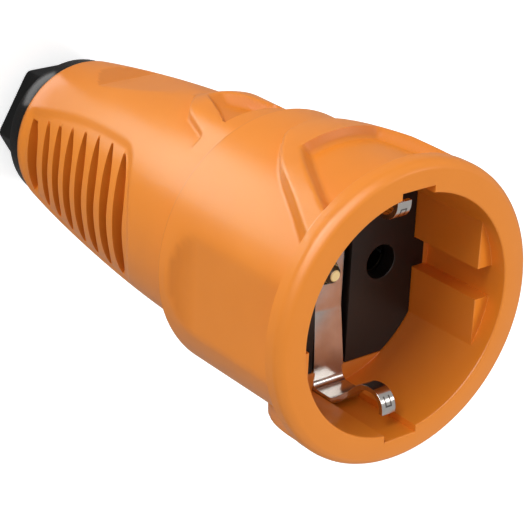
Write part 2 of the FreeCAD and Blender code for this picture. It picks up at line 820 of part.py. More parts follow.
def slotted_screw(radius, shank, head_radius, head_height, tip_radius):
    """Screw along +Z with the underside of its head at the origin and its shank below."""
    chamfer = radius - tip_radius
    points = [(0, -shank), (tip_radius, -shank), (radius, -shank + chamfer), (radius, 0), (head_radius, 0),
              (head_radius, head_height - 0.3), (head_radius - 0.3, head_height), (0, head_height)]
    corners = [Vector(r, 0, z) for r, z in points]
    corners.append(corners[0])
    body = Part.Face(Part.makePolygon(corners)).revolve(Vector(0, 0, 0), Vector(0, 0, 1), 360)
    slot = Part.makeBox(3 * head_radius, slot_width, slot_depth,
                        Vector(-1.5 * head_radius, -slot_width / 2, head_height - slot_depth))
    return body.cut(slot)


def terminal_screws():
    """The three wire screws."""
    screws = []
    shank = terminal_height / 2 - tab_thickness / 2 - fit_gap
    for x, y, side in [(-pin_spacing / 2, 0.0, 1), (pin_spacing / 2, 0.0, 1), (0.0, -earth_terminal_offset, -1)]:
        screw = slotted_screw(terminal_screw_radius, shank, terminal_screw_head_radius,
                              terminal_screw_head_height, terminal_screw_radius - 0.3)
        screw.rotate(Vector(0, 0, 0), Vector(1, 0, 0), -90 * side)
        screw.translate(Vector(x, y + side * (terminal_height / 2 + thread_gap), height(terminal_screw_depth)))
        screws.append(screw)
    return Part.makeCompound(screws)


def centre_screw():
    """Brass screw that draws the insert together, with its tip showing through the earth strip."""
    tip = insert_face - centre_tip_proud
    screw = slotted_screw(centre_screw_radius, insert_back - tip, centre_screw_head_radius,
                          screw_head_height, centre_tip_radius)
    screw.rotate(Vector(0, 0, 0), Vector(1, 0, 0), 180)
    screw.translate(Vector(0, 0, height(insert_back)))
    return screw


def centre_nut():
    """Brass nut that sits in the insert behind the earth strip."""
    nut = hexagon(centre_nut_flats, channel_floor, channel_floor + centre_nut_height)
    return nut.cut(cylinder(centre_screw_radius + thread_gap, 0, insert_split))


def insert_screws():
    """The three screws that join the halves of the insert."""
    screws = []
    for x, y in insert_screw_places():
        screw = slotted_screw(insert_screw_radius, insert_rear_length + insert_screw_reach,
                              insert_screw_head_radius, screw_head_height, insert_screw_radius - 0.4)
        screw.rotate(Vector(0, 0, 0), Vector(1, 0, 0), 180)
        screw.translate(Vector(x, y, height(insert_back)))
        screws.append(screw)
    return Part.makeCompound(screws)


def gland_body():
    """Threaded tube of the gland, held by a flange inside the housing."""
    tube = cylinder(gland_thread_radius, gland_seat_depth - 1, gland_end)
    flange = cylinder(gland_flange_radius, gland_seat_depth - gland_flange_length, gland_seat_depth)
    return tube.fuse(flange).cut(cylinder(gland_inner_radius, 0, gland_end + 1)).removeSplitter()


def clamp_fingers():
    """Slotted collar that the gland nut squeezes onto the cord."""
    end = gland_end + finger_nose
    start = end - finger_length
    points = [(finger_bore, start), (finger_radius, start), (finger_radius, gland_end),
              (finger_radius - finger_taper, end), (finger_bore, end)]
    collar = turned_polygon(points)
    for i in range(finger_count):
        slot = box(0, far, -finger_slot / 2, finger_slot / 2, start + finger_length / 3, end + 1)
        slot.rotate(Vector(0, 0, 0), Vector(0, 0, 1), 360 * i / finger_count)
        collar = collar.cut(slot)
    return collar.removeSplitter()


def cord_seal():
    """Soft ring between the fingers and the cord."""
    outer = finger_bore - thread_gap
    start = gland_end + finger_nose - finger_length + 1
    ring = cylinder(outer, start, start + seal_length)
    return ring.cut(cylinder(outer - seal_wall, start - 1, start + seal_length + 1))


def slip_ring():
    """Thin ring between the end of the gland tube and the nut."""
    ring = cylinder(gland_thread_radius, gland_end, gland_end + slip_ring_thickness)
    return ring.cut(cylinder(gland_thread_radius - slip_ring_width, gland_end - 1, gland_end + 2))


def gland_nut():
    """Flanged hexagon nut with a cone that presses the fingers."""
    start = tail_depth
    hex_start = start + nut_flange_length
    end = hex_start + nut_hex_length
    flange = cylinder(nut_flange_radius, start, hex_start)
    grip = hexagon(nut_across_flats, start, end)
    corner = nut_across_flats / math.sqrt(3)
    limit = turned_polygon([(0, start), (corner + 1, start), (corner + 1, end - nut_corner_chamfer),
                            (corner - nut_corner_chamfer, end), (0, end)])
    body = flange.fuse(grip.common(limit))
    thread = gland_thread_radius + gland_bore_clearance
    seat = gland_end + slip_ring_thickness
    lip = end - nut_lip
    bore = turned_polygon([(0, start - 1), (thread, start - 1), (thread, seat), (finger_radius + fit_gap, seat),
                           (nut_bore_radius, lip), (nut_bore_radius, end + 1), (0, end + 1)])
    return body.cut(bore).removeSplitter()


def main():
    os.makedirs("parts", exist_ok=True)
    shapes = {
        "housing": housing(),
        "insert_front": insert_front(),
        "insert_rear": insert_rear(),
        "earth_strip": earth_strip(),
        "pin_socket_left": pin_socket(-1),
        "pin_socket_right": pin_socket(1),
        "socket_spring_left": socket_spring(-1),
        "socket_spring_right": socket_spring(1),
        "terminal_left": terminal(-1),
        "terminal_right": terminal(1),
        "earth_terminal": earth_terminal(),
        "terminal_screws": terminal_screws(),
        "centre_screw": centre_screw(),
        "centre_nut": centre_nut(),
        "insert_screws": insert_screws(),
        "gland_body": gland_body(),
        "clamp_fingers": clamp_fingers(),
        "cord_seal": cord_seal(),
        "slip_ring": slip_ring(),
        "gland_nut": gland_nut(),
    }
    for name, shape in shapes.items():
        print(name, "solids", len(shape.Solids), "valid", shape.isValid(), "volume", round(shape.Volume, 1))
        shape.exportStep("parts/" + name + ".step")


main()
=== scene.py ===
import bmesh
import bpy
import json
import math
import numpy as np
from mathutils import Matrix, Vector


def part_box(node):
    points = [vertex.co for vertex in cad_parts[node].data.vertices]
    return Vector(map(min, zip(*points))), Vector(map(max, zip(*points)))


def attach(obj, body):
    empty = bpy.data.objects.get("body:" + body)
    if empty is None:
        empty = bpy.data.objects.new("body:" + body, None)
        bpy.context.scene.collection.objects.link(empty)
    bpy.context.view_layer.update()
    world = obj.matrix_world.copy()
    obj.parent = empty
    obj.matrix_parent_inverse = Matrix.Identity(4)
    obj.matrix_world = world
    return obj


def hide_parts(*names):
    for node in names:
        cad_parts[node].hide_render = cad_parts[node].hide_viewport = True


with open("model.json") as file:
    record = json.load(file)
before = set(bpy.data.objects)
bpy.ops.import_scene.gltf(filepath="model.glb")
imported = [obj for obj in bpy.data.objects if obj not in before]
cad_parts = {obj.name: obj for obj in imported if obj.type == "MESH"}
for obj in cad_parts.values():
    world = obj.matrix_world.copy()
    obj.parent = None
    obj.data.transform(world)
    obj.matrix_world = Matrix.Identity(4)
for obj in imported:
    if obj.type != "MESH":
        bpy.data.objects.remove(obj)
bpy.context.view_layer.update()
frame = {"nodes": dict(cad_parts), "record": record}
nodes = frame["nodes"]
scene = bpy.context.scene
mm = 0.001               # the sizes below are in millimetres

housingLow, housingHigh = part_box("housing")
mouthZ = housingHigh.z / mm                          # depths below are measured from here
tailDepth = (housingHigh.z - housingLow.z) / mm
bandRadius = housingHigh.x / mm


def softMin(a, b, blend):
    # lower of two surfaces, with the corner between them rounded over the blend
    share = np.clip(0.5 + 0.5 * (b - a) / blend, 0, 1)
    return b * (1 - share) + a * share - blend * share * (1 - share)


def softMax(a, b, blend):
    return -softMin(-a, -b, blend)


def addObject(name, data):
    thing = bpy.data.objects.new(name, data)
    scene.collection.objects.link(thing)
    return thing


def addPiece(name, points, faces, material, slot, *replaced):
    # plain mesh piece from points in millimetres, riding on the root body
    mesh = bpy.data.meshes.new(name)
    mesh.from_pydata([tuple(point) for point in np.asarray(points) * mm], [], faces)
    mesh.polygons.foreach_set("use_smooth", [True] * len(mesh.polygons))
    mesh.materials.append(material)
    mesh.update()
    return settle(addObject(name, mesh), slot, *replaced)


def settle(piece, slot, *replaced):
    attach(piece, "root")
    if replaced:
        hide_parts(*replaced)
    return piece


def ringMesh(rows, angles):
    # closed ring: each row gives a radius and a depth for every angle, and the last row joins the first
    radius = np.array([np.broadcast_to(row[0], angles.shape) for row in rows])
    depth = np.array([np.broadcast_to(row[1], angles.shape) for row in rows])
    points = np.stack([radius * np.cos(angles), radius * np.sin(angles), mouthZ - depth], -1)
    count = len(angles)
    faces = []
    for row in range(len(rows)):
        here, after = row * count, (row + 1) % len(rows) * count
        for i in range(count):
            j = (i + 1) % count
            faces.append((here + i, here + j, after + j, after + i))
    corners = points.reshape(-1, 3)
    quads = np.array(faces)
    firstDiagonal = corners[quads[:, 2]] - corners[quads[:, 0]]
    secondDiagonal = corners[quads[:, 3]] - corners[quads[:, 1]]
    volume = (corners[quads].mean(1) * np.cross(firstDiagonal, secondDiagonal)).sum()
    if volume < 0:
        faces = [face[::-1] for face in faces]
    return corners, faces


def newMaterial(name):
    material = bpy.data.materials.new(name)
    material.use_nodes = True
    return material, material.node_tree, material.node_tree.nodes["Principled BSDF"]


def addNode(tree, kind, values=None, **settings):
    # node with its settings, and then the values of its inputs
    node = tree.nodes.new(kind)
    for name, value in settings.items():
        setattr(node, name, value)
    for name, value in (values or {}).items():
        node.inputs[name].default_value = value
    return node


def link(source, target):
    source.id_data.links.new(source, target)


def mathNode(tree, operation, first, second=None):
    # one step of arithmetic on numbers or sockets
    node = addNode(tree, "ShaderNodeMath", operation=operation)
    for place, value in enumerate((first, second)):
        if value is None:
            continue
        if isinstance(value, (int, float)):
            node.inputs[place].default_value = value
        else:
            link(value, node.inputs[place])
    return node.outputs[0]


skinNoise = {"patch": {"Detail": 3, "Roughness": 0.55}, "grain": {"Detail": 2}}


def makeSkinGroup():
    # moulded or plated skin: broad uneven patches and a fine grain, both from 0 to 1
    group = bpy.data.node_groups.new("mouldedSkin", "ShaderNodeTree")
    for name, value in (("Patch Scale", 60.0), ("Grain Scale", 3000.0), ("Patch Contrast", 1.0)):
        socket = group.interface.new_socket(name, in_out="INPUT", socket_type="NodeSocketFloat")
        socket.default_value = value
    group.interface.new_socket("Patches", in_out="OUTPUT", socket_type="NodeSocketFloat")
    group.interface.new_socket("Grain", in_out="OUTPUT", socket_type="NodeSocketFloat")
    start = group.nodes.new("NodeGroupInput")
    end = group.nodes.new("NodeGroupOutput")
    place = group.nodes.new("ShaderNodeTexCoord")
    patch = addNode(group, "ShaderNodeTexNoise", skinNoise["patch"], noise_dimensions="3D")
    grain = addNode(group, "ShaderNodeTexNoise", skinNoise["grain"], noise_dimensions="3D")
    for noise, name in ((patch, "Patch Scale"), (grain, "Grain Scale")):
        link(place.outputs["Object"], noise.inputs["Vector"])
        link(start.outputs[name], noise.inputs["Scale"])
    shifted = mathNode(group, "SUBTRACT", patch.outputs["Fac"], 0.5)
    spread = mathNode(group, "MULTIPLY", shifted, start.outputs["Patch Contrast"])
    centred = mathNode(group, "ADD", spread, 0.5)
    link(centred, end.inputs["Patches"])
    link(grain.outputs["Fac"], end.inputs["Grain"])
    return group


skinGroup = makeSkinGroup()


def skinMaterial(name, look):
    # finish with two close shades, roughness between two values and a fine raised grain
    material, tree, shader = newMaterial(name)
    scales = {"Patch Scale": look["patches"], "Grain Scale": look["grain"]}
    skin = addNode(tree, "ShaderNodeGroup", scales, node_tree=skinGroup)
    skin.inputs["Patch Contrast"].default_value = look.get("contrast", 2.0)
    colours = {"A": (*look["dark"], 1), "B": (*look["light"], 1)}
    shades = addNode(tree, "ShaderNodeMix", colours, data_type="RGBA")
    link(skin.outputs["Patches"], shades.inputs["Factor"])
    link(shades.outputs["Result"], shader.inputs["Base Color"])
    rough = addNode(tree, "ShaderNodeMapRange")
    rough.inputs["To Min"].default_value, rough.inputs["To Max"].default_value = look["roughness"]
    link(skin.outputs["Patches"], rough.inputs["Value"])
    link(rough.outputs["Result"], shader.inputs["Roughness"])
    height = addNode(tree, "ShaderNodeBump", {"Strength": 1.0, "Distance": look["height"] * mm})
    link(skin.outputs["Grain"], height.inputs["Height"])
    link(height.outputs["Normal"], shader.inputs["Normal"])
    shader.inputs["Metallic"].default_value = look.get("metallic", 0.0)
    return material


def recolour(material, share, colour):
    # lays one colour over the material's own shades, as far as the share says
    tree = material.node_tree
    shader = tree.nodes["Principled BSDF"]
    shades = shader.inputs["Base Color"].links[0].from_node
    mixed = addNode(tree, "ShaderNodeMix", {"B": (*colour, 1)}, data_type="RGBA")
    link(share, mixed.inputs["Factor"])
    link(shades.outputs["Result"], mixed.inputs["A"])
    link(mixed.outputs["Result"], shader.inputs["Base Color"])


clipMark = {
    "halfWidth": 0.5, "near": 14.9, "far": 16.3, "lineWidth": 0.13, "lowestZ": 90.0,
    "colour": (0.16, 0.14, 0.13),
}
# painted shade: the dark colour laid over the housing's rubber where little light falls
paintedShadeTint = {"share": 0.68, "colour": (0.44, 0.105, 0.006)}
# the centre screw's bright tip: brass yellow with a painted glint
brassTipGlint = {"radius": 0.95, "colour": (0.98, 0.80, 0.38)}


def markClips(material):
    # the line that the stamping tool leaves near the end of each clip
    tree = material.node_tree
    place = tree.nodes.new("ShaderNodeTexCoord")
    split = tree.nodes.new("ShaderNodeSeparateXYZ")
    link(place.outputs["Object"], split.inputs[0])
    side = mathNode(tree, "ABSOLUTE", split.outputs["X"])
    reach = mathNode(tree, "ABSOLUTE", split.outputs["Y"])
    lineWidth = clipMark["lineWidth"] * mm
    lines = []
    for measure, middle in ((side, clipMark["halfWidth"] * mm), (reach, clipMark["far"] * mm)):
        away = mathNode(tree, "ABSOLUTE", mathNode(tree, "SUBTRACT", measure, middle))
        lines.append(mathNode(tree, "LESS_THAN", away, lineWidth))
    line = mathNode(tree, "MAXIMUM", *lines)
    limits = (
        mathNode(tree, "GREATER_THAN", reach, clipMark["near"] * mm),
        mathNode(tree, "LESS_THAN", reach, clipMark["far"] * mm + lineWidth),
        mathNode(tree, "LESS_THAN", side, clipMark["halfWidth"] * mm + lineWidth),
        mathNode(tree, "GREATER_THAN", split.outputs["Z"], clipMark["lowestZ"] * mm),
    )
    for limit in limits:
        line = mathNode(tree, "MULTIPLY", line, limit)
    recolour(material, line, clipMark["colour"])


def paintHollowShade(material):
    # painted shade: darker where the mesh says that little light falls, as in the grip grooves
    tree = material.node_tree
    sunk = addNode(tree, "ShaderNodeAttribute", attribute_name="grooveShade")
    share = mathNode(tree, "MULTIPLY", sunk.outputs["Fac"], paintedShadeTint["share"])
    recolour(material, share, paintedShadeTint["colour"])


def paintTipGlint(material):
    # painted shade and highlight: the screw's brass is painted dark as shade, and round the axis it gets a
    # bright tip, brass yellow with a painted glint
    tree = material.node_tree
    place = tree.nodes.new("ShaderNodeTexCoord")
    flat = addNode(tree, "ShaderNodeVectorMath", {1: (1, 1, 0)}, operation="MULTIPLY")
    link(place.outputs["Object"], flat.inputs[0])
    away = addNode(tree, "ShaderNodeVectorMath", operation="LENGTH")
    link(flat.outputs[0], away.inputs[0])
    tip = mathNode(tree, "LESS_THAN", away.outputs["Value"], brassTipGlint["radius"] * mm)
    recolour(material, tip, brassTipGlint["colour"])


rubberLook = {
    "dark": (0.80, 0.236, 0.016), "light": (0.85, 0.262, 0.022), "roughness": (0.31, 0.35),
    "patches": 70, "grain": 2600, "height": 0.0035, "contrast": 1.6,
}
finishes = {
    # scale of the uneven patches, scale of the grain and height of the grain in millimetres
    "orangeRubber": rubberLook,
    "grippedRubber": rubberLook,
    "blackPlastic": {"dark": (0.0045, 0.0032, 0.0026), "light": (0.008, 0.006, 0.0052),
                     "roughness": (0.36, 0.46), "patches": 150, "grain": 1900, "height": 0.006},
    "nickel": {"dark": (0.50, 0.47, 0.44), "light": (0.66, 0.63, 0.60), "roughness": (0.16, 0.24),
               "patches": 260, "grain": 700, "height": 0.0025, "metallic": 1.0},
    # painted shade: near-black brass for the pin sockets, which lie in shade deep in the insert
    "shadedSocketBrass": {"dark": (0.010, 0.008, 0.005), "light": (0.02, 0.016, 0.01), "roughness": (0.4, 0.55),
                  "patches": 400, "grain": 1500, "height": 0.006, "metallic": 1.0},
    # painted shade: dark brass for the centre screw, apart from its tip
    "shadedScrewBrass": {"dark": (0.04, 0.028, 0.012), "light": (0.08, 0.055, 0.025), "roughness": (0.35, 0.5),
                   "patches": 400, "grain": 1500, "height": 0.006},
    "brass": {"dark": (0.78, 0.60, 0.27), "light": (0.92, 0.76, 0.42), "roughness": (0.2, 0.32),
              "patches": 500, "grain": 1500, "height": 0.01, "metallic": 1.0},
    "zincSteel": {"dark": (0.42, 0.42, 0.41), "light": (0.60, 0.60, 0.58), "roughness": (0.24, 0.38),
                  "patches": 400, "grain": 1500, "height": 0.008, "metallic": 1.0},
    "glandPlastic": {"dark": (0.0035, 0.0035, 0.0035), "light": (0.006, 0.006, 0.006),
                     "roughness": (0.2, 0.28), "patches": 120, "grain": 2200, "height": 0.005},
    "sealRubber": {"dark": (0.008, 0.008, 0.008), "light": (0.014, 0.014, 0.013), "roughness": (0.6, 0.75),
                   "patches": 200, "grain": 1600, "height": 0.01},
}
slotFinishes = {
    "orange_rubber": "orangeRubber", "black_plastic": "blackPlastic", "nickel": "nickel",
    "contact_brass": "brass", "zinc_steel": "zincSteel", "gland_plastic": "glandPlastic",
    "seal_rubber": "sealRubber",
}

materials = {name: skinMaterial(name, look) for name, look in finishes.items()}
markClips(materials["nickel"])
paintHollowShade(materials["grippedRubber"])
paintTipGlint(materials["shadedScrewBrass"])
for part in frame["record"]["subparts"]:
    cadMaterials = nodes[part["node"]].data.materials
    cadMaterials.clear()
    cadMaterials.append(materials[slotFinishes[part["material_slot"]]])
print("materials ready")


housing = {
    "bandLength": 3.4, "bandRound": 1.35, "bandFlat": 0.5, "bandRootRound": 0.35, "bandSlope": 14,
    "bandReach": 1.5, "barrelRadius": 22.0, "barrelEnd": 33.5, "barrelRound": 0.12, "stepSlope": 12,
    "barrelCoveRadius": 21.2, "barrelCoveEnd": 36.0, "rearRootRadius": 18.9, "rearCrown": 1.2,
    "tailRadius": 13.9, "tailRound": 0.3,
    "sideFlat": 20.4, "sideFlatEnd": 26.0, "sideCoveLength": 5.0, "sideFadeSlope": 2, "flatEdgeRound": 0.08,
    "recessRadius": 19.5, "recessDepth": 17.5, "keyChord": 16.45, "keyStart": 3.0, "keyGrooveHalf": 2.6,
    "notchHalf": 3.15, "notchWall": 20.35, "channelFloor": 19.25, "channelStart": 19.6, "channelSlope": 4,
    "insertEdge": 16.2, "lugReach": 18.6, "insertSplit": 30.0,
    "cavityRadius": 15.5, "cavityEnd": 47.0, "wireSpaceRadius": 12.0, "glandSeat": 62.0, "glandBore": 8.55,
    "mouthEdgeRound": 0.3, "rimFlat": 0.12, "recessRound": 0.05, "sharpAngle": 55.0,
}
frontRib = {
    "footHalf": 18.0, "footSlope": 0.435, "shoulderHalf": 11.3, "shoulderDepth": 18.8, "apexSlope": 1.0,
    "endDepth": 25.5, "endSlope": 5.0, "endRound": 2.4, "outlineRound": 2.0,
    "levelEnd": 14.0, "fadeEnd": 31.0, "fadeCrown": 0.28, "crestRound": 0.18, "rootRound": 0.1,
}
frontWindow = {
    "floor": 22.3, "wallBase": 30.44, "wallTurn": 0.8955, "wallDepth": 16.76, "wallLean": 1.73,
    "backDepth": 17.4, "frontDepth": 3.8, "endSlope": 7.0, "backRound": 1.2, "frontRound": 0.5,
    "floorRound": 0.12, "crestRound": 0.15,
}
rearBoss = {
    "crest": 20.4, "levelEnd": 46.5, "fadeMiddle": (19.9, 50.0), "fadeEnd": (18.1, 54.3),
    "footHalf": 8.75, "footDepth": 41.0, "sideSlope": 0.31, "shoulderHalf": 5.0, "shoulderDepth": 49.3,
    "apexSlope": 1.0, "padEnd": 41.0, "padHalf": 12.5, "padSlope": 8, "padRound": 0.2, "startGap": 0.45,
    "bevelRound": 1.3, "bevelRidge": 26.875, "bevelSlope": 1.05,
    "outlineRound": 0.6, "crestRound": 0.12, "rootRound": 0.1,
}
rearWindow = {
    # height, half width at the front, half width at the back and depth of the back, low down and high up
    "low": (17.5, 4.98, 0.78, 45.03), "high": (21.5, 6.3, 1.5, 53.36), "middleHeight": 19.3,
    "floor": 18.5, "frontDepth": 39.5, "frontRise": 7.0,
    "floorRound": 0.12, "crestRound": 0.15, "wallRound": 0.15,
}
scoop = {
    "start": 58.0, "lowDepth": 74.5, "low": 14.9, "end": 80.7, "risePower": 0.75, "edgeRound": 0.15,
    "margin": 3,
}
hollows = {
    # painted shade: how dark each place is, how fast the shade grows with the depth of a hollow, and where it
    # starts or ends
    "cove": 0.5, "scoopBack": 0.45, "frontWall": 0.22, "rearWindow": 0.3, "arris": 0.3,
    "coveSlope": 5, "coveReach": 1.2, "scoopSunk": 0.03, "wallSlope": 3, "wallStart": 0.3,
    "arrisDepths": (33.3, 33.65),
}
gripPanel = {
    "inset": 0.5, "front": 46.9, "frontSweep": 25.0, "edgeWidth": 1.15, "leastAcross": 0.3,
    "sideHalf": 12.75, "sideLevel": 57.0, "sideFall": 0.0054, "end": 87.0,
    "cornerRound": 2.2, "endRound": 0.8, "edgeRound": 0.3,
}
gripGrooves = {
    # depths of the front and back edge at mid height, the same at the tips, and the half height
    "edges": ((49.55, 52.65, 54.3, 55.0, 10.7), (54.55, 57.0, 58.8, 59.4, 10.9),
              (58.85, 61.3, 63.1, 63.7, 10.5), (63.15, 65.75, 67.2, 67.9, 10.0),
              (67.45, 70.05, 71.4, 72.1, 9.3), (71.85, 74.3, 75.2, 76.2, 8.4),
              (76.15, 78.45, 79.3, 80.2, 7.7), (80.7, 84.8, 83.6, 85.5, 6.6)),
    "frontPower": 3.1, "backPower": 2.0, "depth": 2.0, "tipDepth": 1.4, "wallWidth": 0.2, "tipWidth": 0.4,
    "sweepStart": 38.0, "fadeHeight": 3.0, "middleDepth": 60.0,
    # rows of the mesh before the first groove, in a groove, on the ribs and behind the last groove
    "frontRows": 34, "lip": 0.03, "toe": 0.3, "ribGap": 0.14, "rearSteps": (0, 0.14, 0.6, 1.2, 1.8, 2.4, 3.0),
    # how fast the painted shade starts on a wall, and how much of it the upper side of a floor leaves out, as
    # painted light
    "shadeSlope": 13, "litFloor": 0.85, "litSlope": 1.5, "litStart": 0.1, "floorFrom": 1.2,
}


# In what follows across and upright say how far a direction points to the side and up, from 0 to 1.
# The least values given to np.maximum only keep a division away from zero.

def arcRadius(depth, start, end, crown):
    # radius along one shallow arc between two section points, bulging outwards by the crown
    chord = np.array(end) - np.array(start)
    length = np.linalg.norm(chord)
    across = np.array([chord[1], -chord[0]]) / length
    swing = (length ** 2 / 4 + crown ** 2) / (2 * crown)
    centre = (np.array(start) + np.array(end)) / 2 + across * (crown - swing)
    return centre[0] + np.sqrt(np.maximum(swing ** 2 - (depth - centre[1]) ** 2, 0))


def rearRadius(depth):
    return arcRadius(depth, (housing["rearRootRadius"], housing["barrelEnd"]),
                     (housing["tailRadius"], tailDepth), housing["rearCrown"])


def sideFlat(depth, across):
    # flat on the side of the barrel, which ends in a cove
    flatRise = housing["barrelRadius"] - housing["sideFlat"]
    swing = (housing["sideCoveLength"] ** 2 + flatRise ** 2) / (2 * flatRise)
    behind = depth - housing["sideFlatEnd"]
    along = np.clip(behind, 0, housing["sideCoveLength"])
    flat = housing["sideFlat"] + swing - np.sqrt(swing ** 2 - along ** 2)
    flat = flat + np.maximum(behind - housing["sideCoveLength"], 0) * housing["sideFadeSlope"]
    return flat / np.maximum(across, 0.05)


def bodyRadius(depth, across):
    # barrel with its flats, the step behind it and the tapered rear
    barrel = softMin(housing["barrelRadius"], sideFlat(depth, across), housing["flatEdgeRound"])
    face = housing["barrelRadius"] + (housing["barrelEnd"] - depth) * housing["stepSlope"]
    turn = np.clip((depth - housing["barrelEnd"]) / (housing["barrelCoveEnd"] - housing["barrelEnd"]), 0, 1)
    coveDrop = (housing["barrelCoveRadius"] - rearRadius(depth)) * np.sqrt(1 - (1 - turn) ** 2)
    step = np.maximum(face, housing["barrelCoveRadius"] - coveDrop)
    return np.where(depth > housing["barrelCoveEnd"], rearRadius(depth),
                    softMin(barrel, step, housing["barrelRound"]))


def ribCrest(depth):
    # level crest of the front rib, which fades into the barrel
    start, end = (bandRadius, frontRib["levelEnd"]), (housing["barrelRadius"], frontRib["fadeEnd"])
    fade = arcRadius(np.clip(depth, start[1], end[1]), start, end, frontRib["fadeCrown"])
    return np.where(depth < start[1], bandRadius, np.where(depth > end[1], 0, fade))


def raisedArch(radius, crest, half, walls, directions, rises, opening):
    # arch of the given half width raised over the body, with its window cut in if there are walls for one
    across, upright = directions
    arch = softMin(crest, np.maximum(half, 0.01) / np.maximum(across, 1e-3), rises["crestRound"])
    raised = softMax(radius, arch, rises["rootRound"])
    if walls is None:
        return raised
    cut = softMax(opening["floor"], walls, opening["floorRound"])
    return np.where(upright > 0.5, softMin(raised, cut, opening["crestRound"]), raised)


def frontWindowWalls(depth, across, upright):
    # radius of the window's leaning side walls, its back and its front
    lean = np.maximum(frontWindow["wallLean"] * upright - across, 0.2)
    side = (frontWindow["wallBase"] + frontWindow["wallTurn"] * (depth - frontWindow["wallDepth"])) / lean
    back = frontWindow["floor"] + (depth - frontWindow["backDepth"]) * frontWindow["endSlope"]
    front = frontWindow["floor"] + (frontWindow["frontDepth"] - depth) * frontWindow["endSlope"]
    return softMax(softMax(side, back, frontWindow["backRound"]), front, frontWindow["frontRound"])


def addFrontRib(radius, depth, across, upright, window):
    side = frontRib["footHalf"] - frontRib["footSlope"] * (depth - housing["bandLength"])
    apex = frontRib["shoulderHalf"] - frontRib["apexSlope"] * (depth - frontRib["shoulderDepth"])
    end = frontRib["endSlope"] * (frontRib["endDepth"] - depth)
    half = softMin(softMin(side, apex, frontRib["outlineRound"]), end, frontRib["endRound"])
    walls = frontWindowWalls(depth, across, upright) if window else None
    raised = raisedArch(radius, ribCrest(depth), half, walls, (across, upright), frontRib, frontWindow)
    return np.where(depth < frontRib["fadeEnd"], raised, radius)


def bossCrest(depth):
    # level crest that bends down to the body near the point of the arch
    start = (rearBoss["crest"], rearBoss["levelEnd"])
    middle, end = rearBoss["fadeMiddle"], rearBoss["fadeEnd"]
    share = np.clip((depth - start[1]) / (end[1] - start[1]), 0, 1)
    middleShare = (middle[1] - start[1]) / (end[1] - start[1])
    power = math.log((start[0] - middle[0]) / (start[0] - end[0])) / math.log(middleShare)
    return start[0] - (start[0] - end[0]) * share ** power - np.maximum(depth - end[1], 0)


def rearWindowWalls(depth, across, upright):
    # radius of the window's sloping walls, which lie on straight lines between the low and the high outline
    upright = np.maximum(upright, 0.3)
    slant = across / upright
    low, high = np.array(rearWindow["low"]), np.array(rearWindow["high"])
    lift, frontRise, backRise, depthRise = high - low
    behind = depth - rearWindow["frontDepth"]
    length = low[3] - rearWindow["frontDepth"]
    height = np.full_like(slant, rearWindow["middleHeight"])
    for _ in range(3):
        x = height * slant
        a = frontRise * depthRise
        b = low[1] * depthRise + frontRise * length - depthRise * x - (frontRise - backRise) * behind
        c = (low[1] - x) * length - (low[1] - low[2]) * behind
        share = (-b + np.sqrt(np.maximum(b * b - 4 * a * c, 0))) / (2 * a)
        height = low[0] + lift * np.clip(share, 0, 1.2)
    back = low[0] + lift * (behind - length) / depthRise
    front = low[0] - behind * rearWindow["frontRise"]
    return softMax(softMax(height, back, rearWindow["wallRound"]), front, rearWindow["wallRound"]) / upright


def addRearBoss(radius, depth, across, upright, window):
    side = rearBoss["footHalf"] - rearBoss["sideSlope"] * (depth - rearBoss["footDepth"])
    apex = rearBoss["shoulderHalf"] - rearBoss["apexSlope"] * (depth - rearBoss["shoulderDepth"])
    half = softMin(side, apex, rearBoss["outlineRound"])
    pad = rearBoss["footHalf"] + (rearBoss["padEnd"] - depth) * rearBoss["padSlope"]
    half = softMax(half, np.minimum(pad, rearBoss["padHalf"]), rearBoss["padRound"])
    bevel = rearBoss["bevelRidge"] / (upright + rearBoss["bevelSlope"] * across)
    crest = softMin(bossCrest(depth), bevel, rearBoss["bevelRound"])
    walls = rearWindowWalls(depth, across, upright) if window else None
    raised = raisedArch(radius, crest, half, walls, (across, upright), rearBoss, rearWindow)
    inside = (depth > housing["barrelEnd"] + rearBoss["startGap"]) & (depth < rearBoss["fadeEnd"][1] + 1)
    return np.where(inside & (upright > 0.5), raised, radius)


def scoopLevels(depth):
    # height of the long level and of the short rise at the back of it
    start, low = (rearRadius(scoop["start"]), scoop["start"]), (scoop["low"], scoop["lowDepth"])
    end = scoop["end"]
    fall = start[0] + (low[0] - start[0]) * (depth - start[1]) / (low[1] - start[1])
    behind = np.clip((depth - low[1]) / (end - low[1]), 0, 2)
    rise = low[0] + (rearRadius(end) - low[0]) * behind ** scoop["risePower"]
    return fall, rise


def cutScoop(radius, depth, upright):
    level = np.maximum(*scoopLevels(depth)) / np.maximum(upright, 0.3)
    near = (depth > scoop["start"] - scoop["margin"]) & (depth < scoop["end"] + scoop["margin"])
    return np.where(near, softMin(radius, level, scoop["edgeRound"]), radius)


def hollowShade(depth, angles):
    # where little light falls: the coves of the side flats, the backs of the scoops and the window walls
    across, upright = np.abs(np.cos(angles)), np.abs(np.sin(angles))
    along = (depth - housing["sideFlatEnd"]) / housing["sideCoveLength"]
    sunkFlat = housing["barrelRadius"] - sideFlat(depth, across)
    cove = np.clip(sunkFlat * hollows["coveSlope"], 0, 1) * (along < hollows["coveReach"])
    fall, rise = scoopLevels(depth)
    level = np.maximum(fall, rise) / np.maximum(upright, 0.3)
    sunkScoop = level < rearRadius(depth) - hollows["scoopSunk"]
    back = (rise > fall) & sunkScoop & (depth > scoop["lowDepth"] - 1)
    opened = outerRadius(depth, angles)
    sunk = np.clip((outerRadius(depth, angles, False) - opened) * hollows["wallSlope"], 0, 1)
    onWall = np.clip((opened - frontWindow["floor"]) * hollows["wallSlope"] - hollows["wallStart"], 0, 1)
    window = np.where(depth < housing["barrelEnd"], hollows["frontWall"] * sunk * onWall,
                      hollows["rearWindow"] * sunk)
    shade = np.maximum(hollows["cove"] * np.clip(along, 0, 1) * cove, hollows["scoopBack"] * back)
    return np.maximum(shade, window)


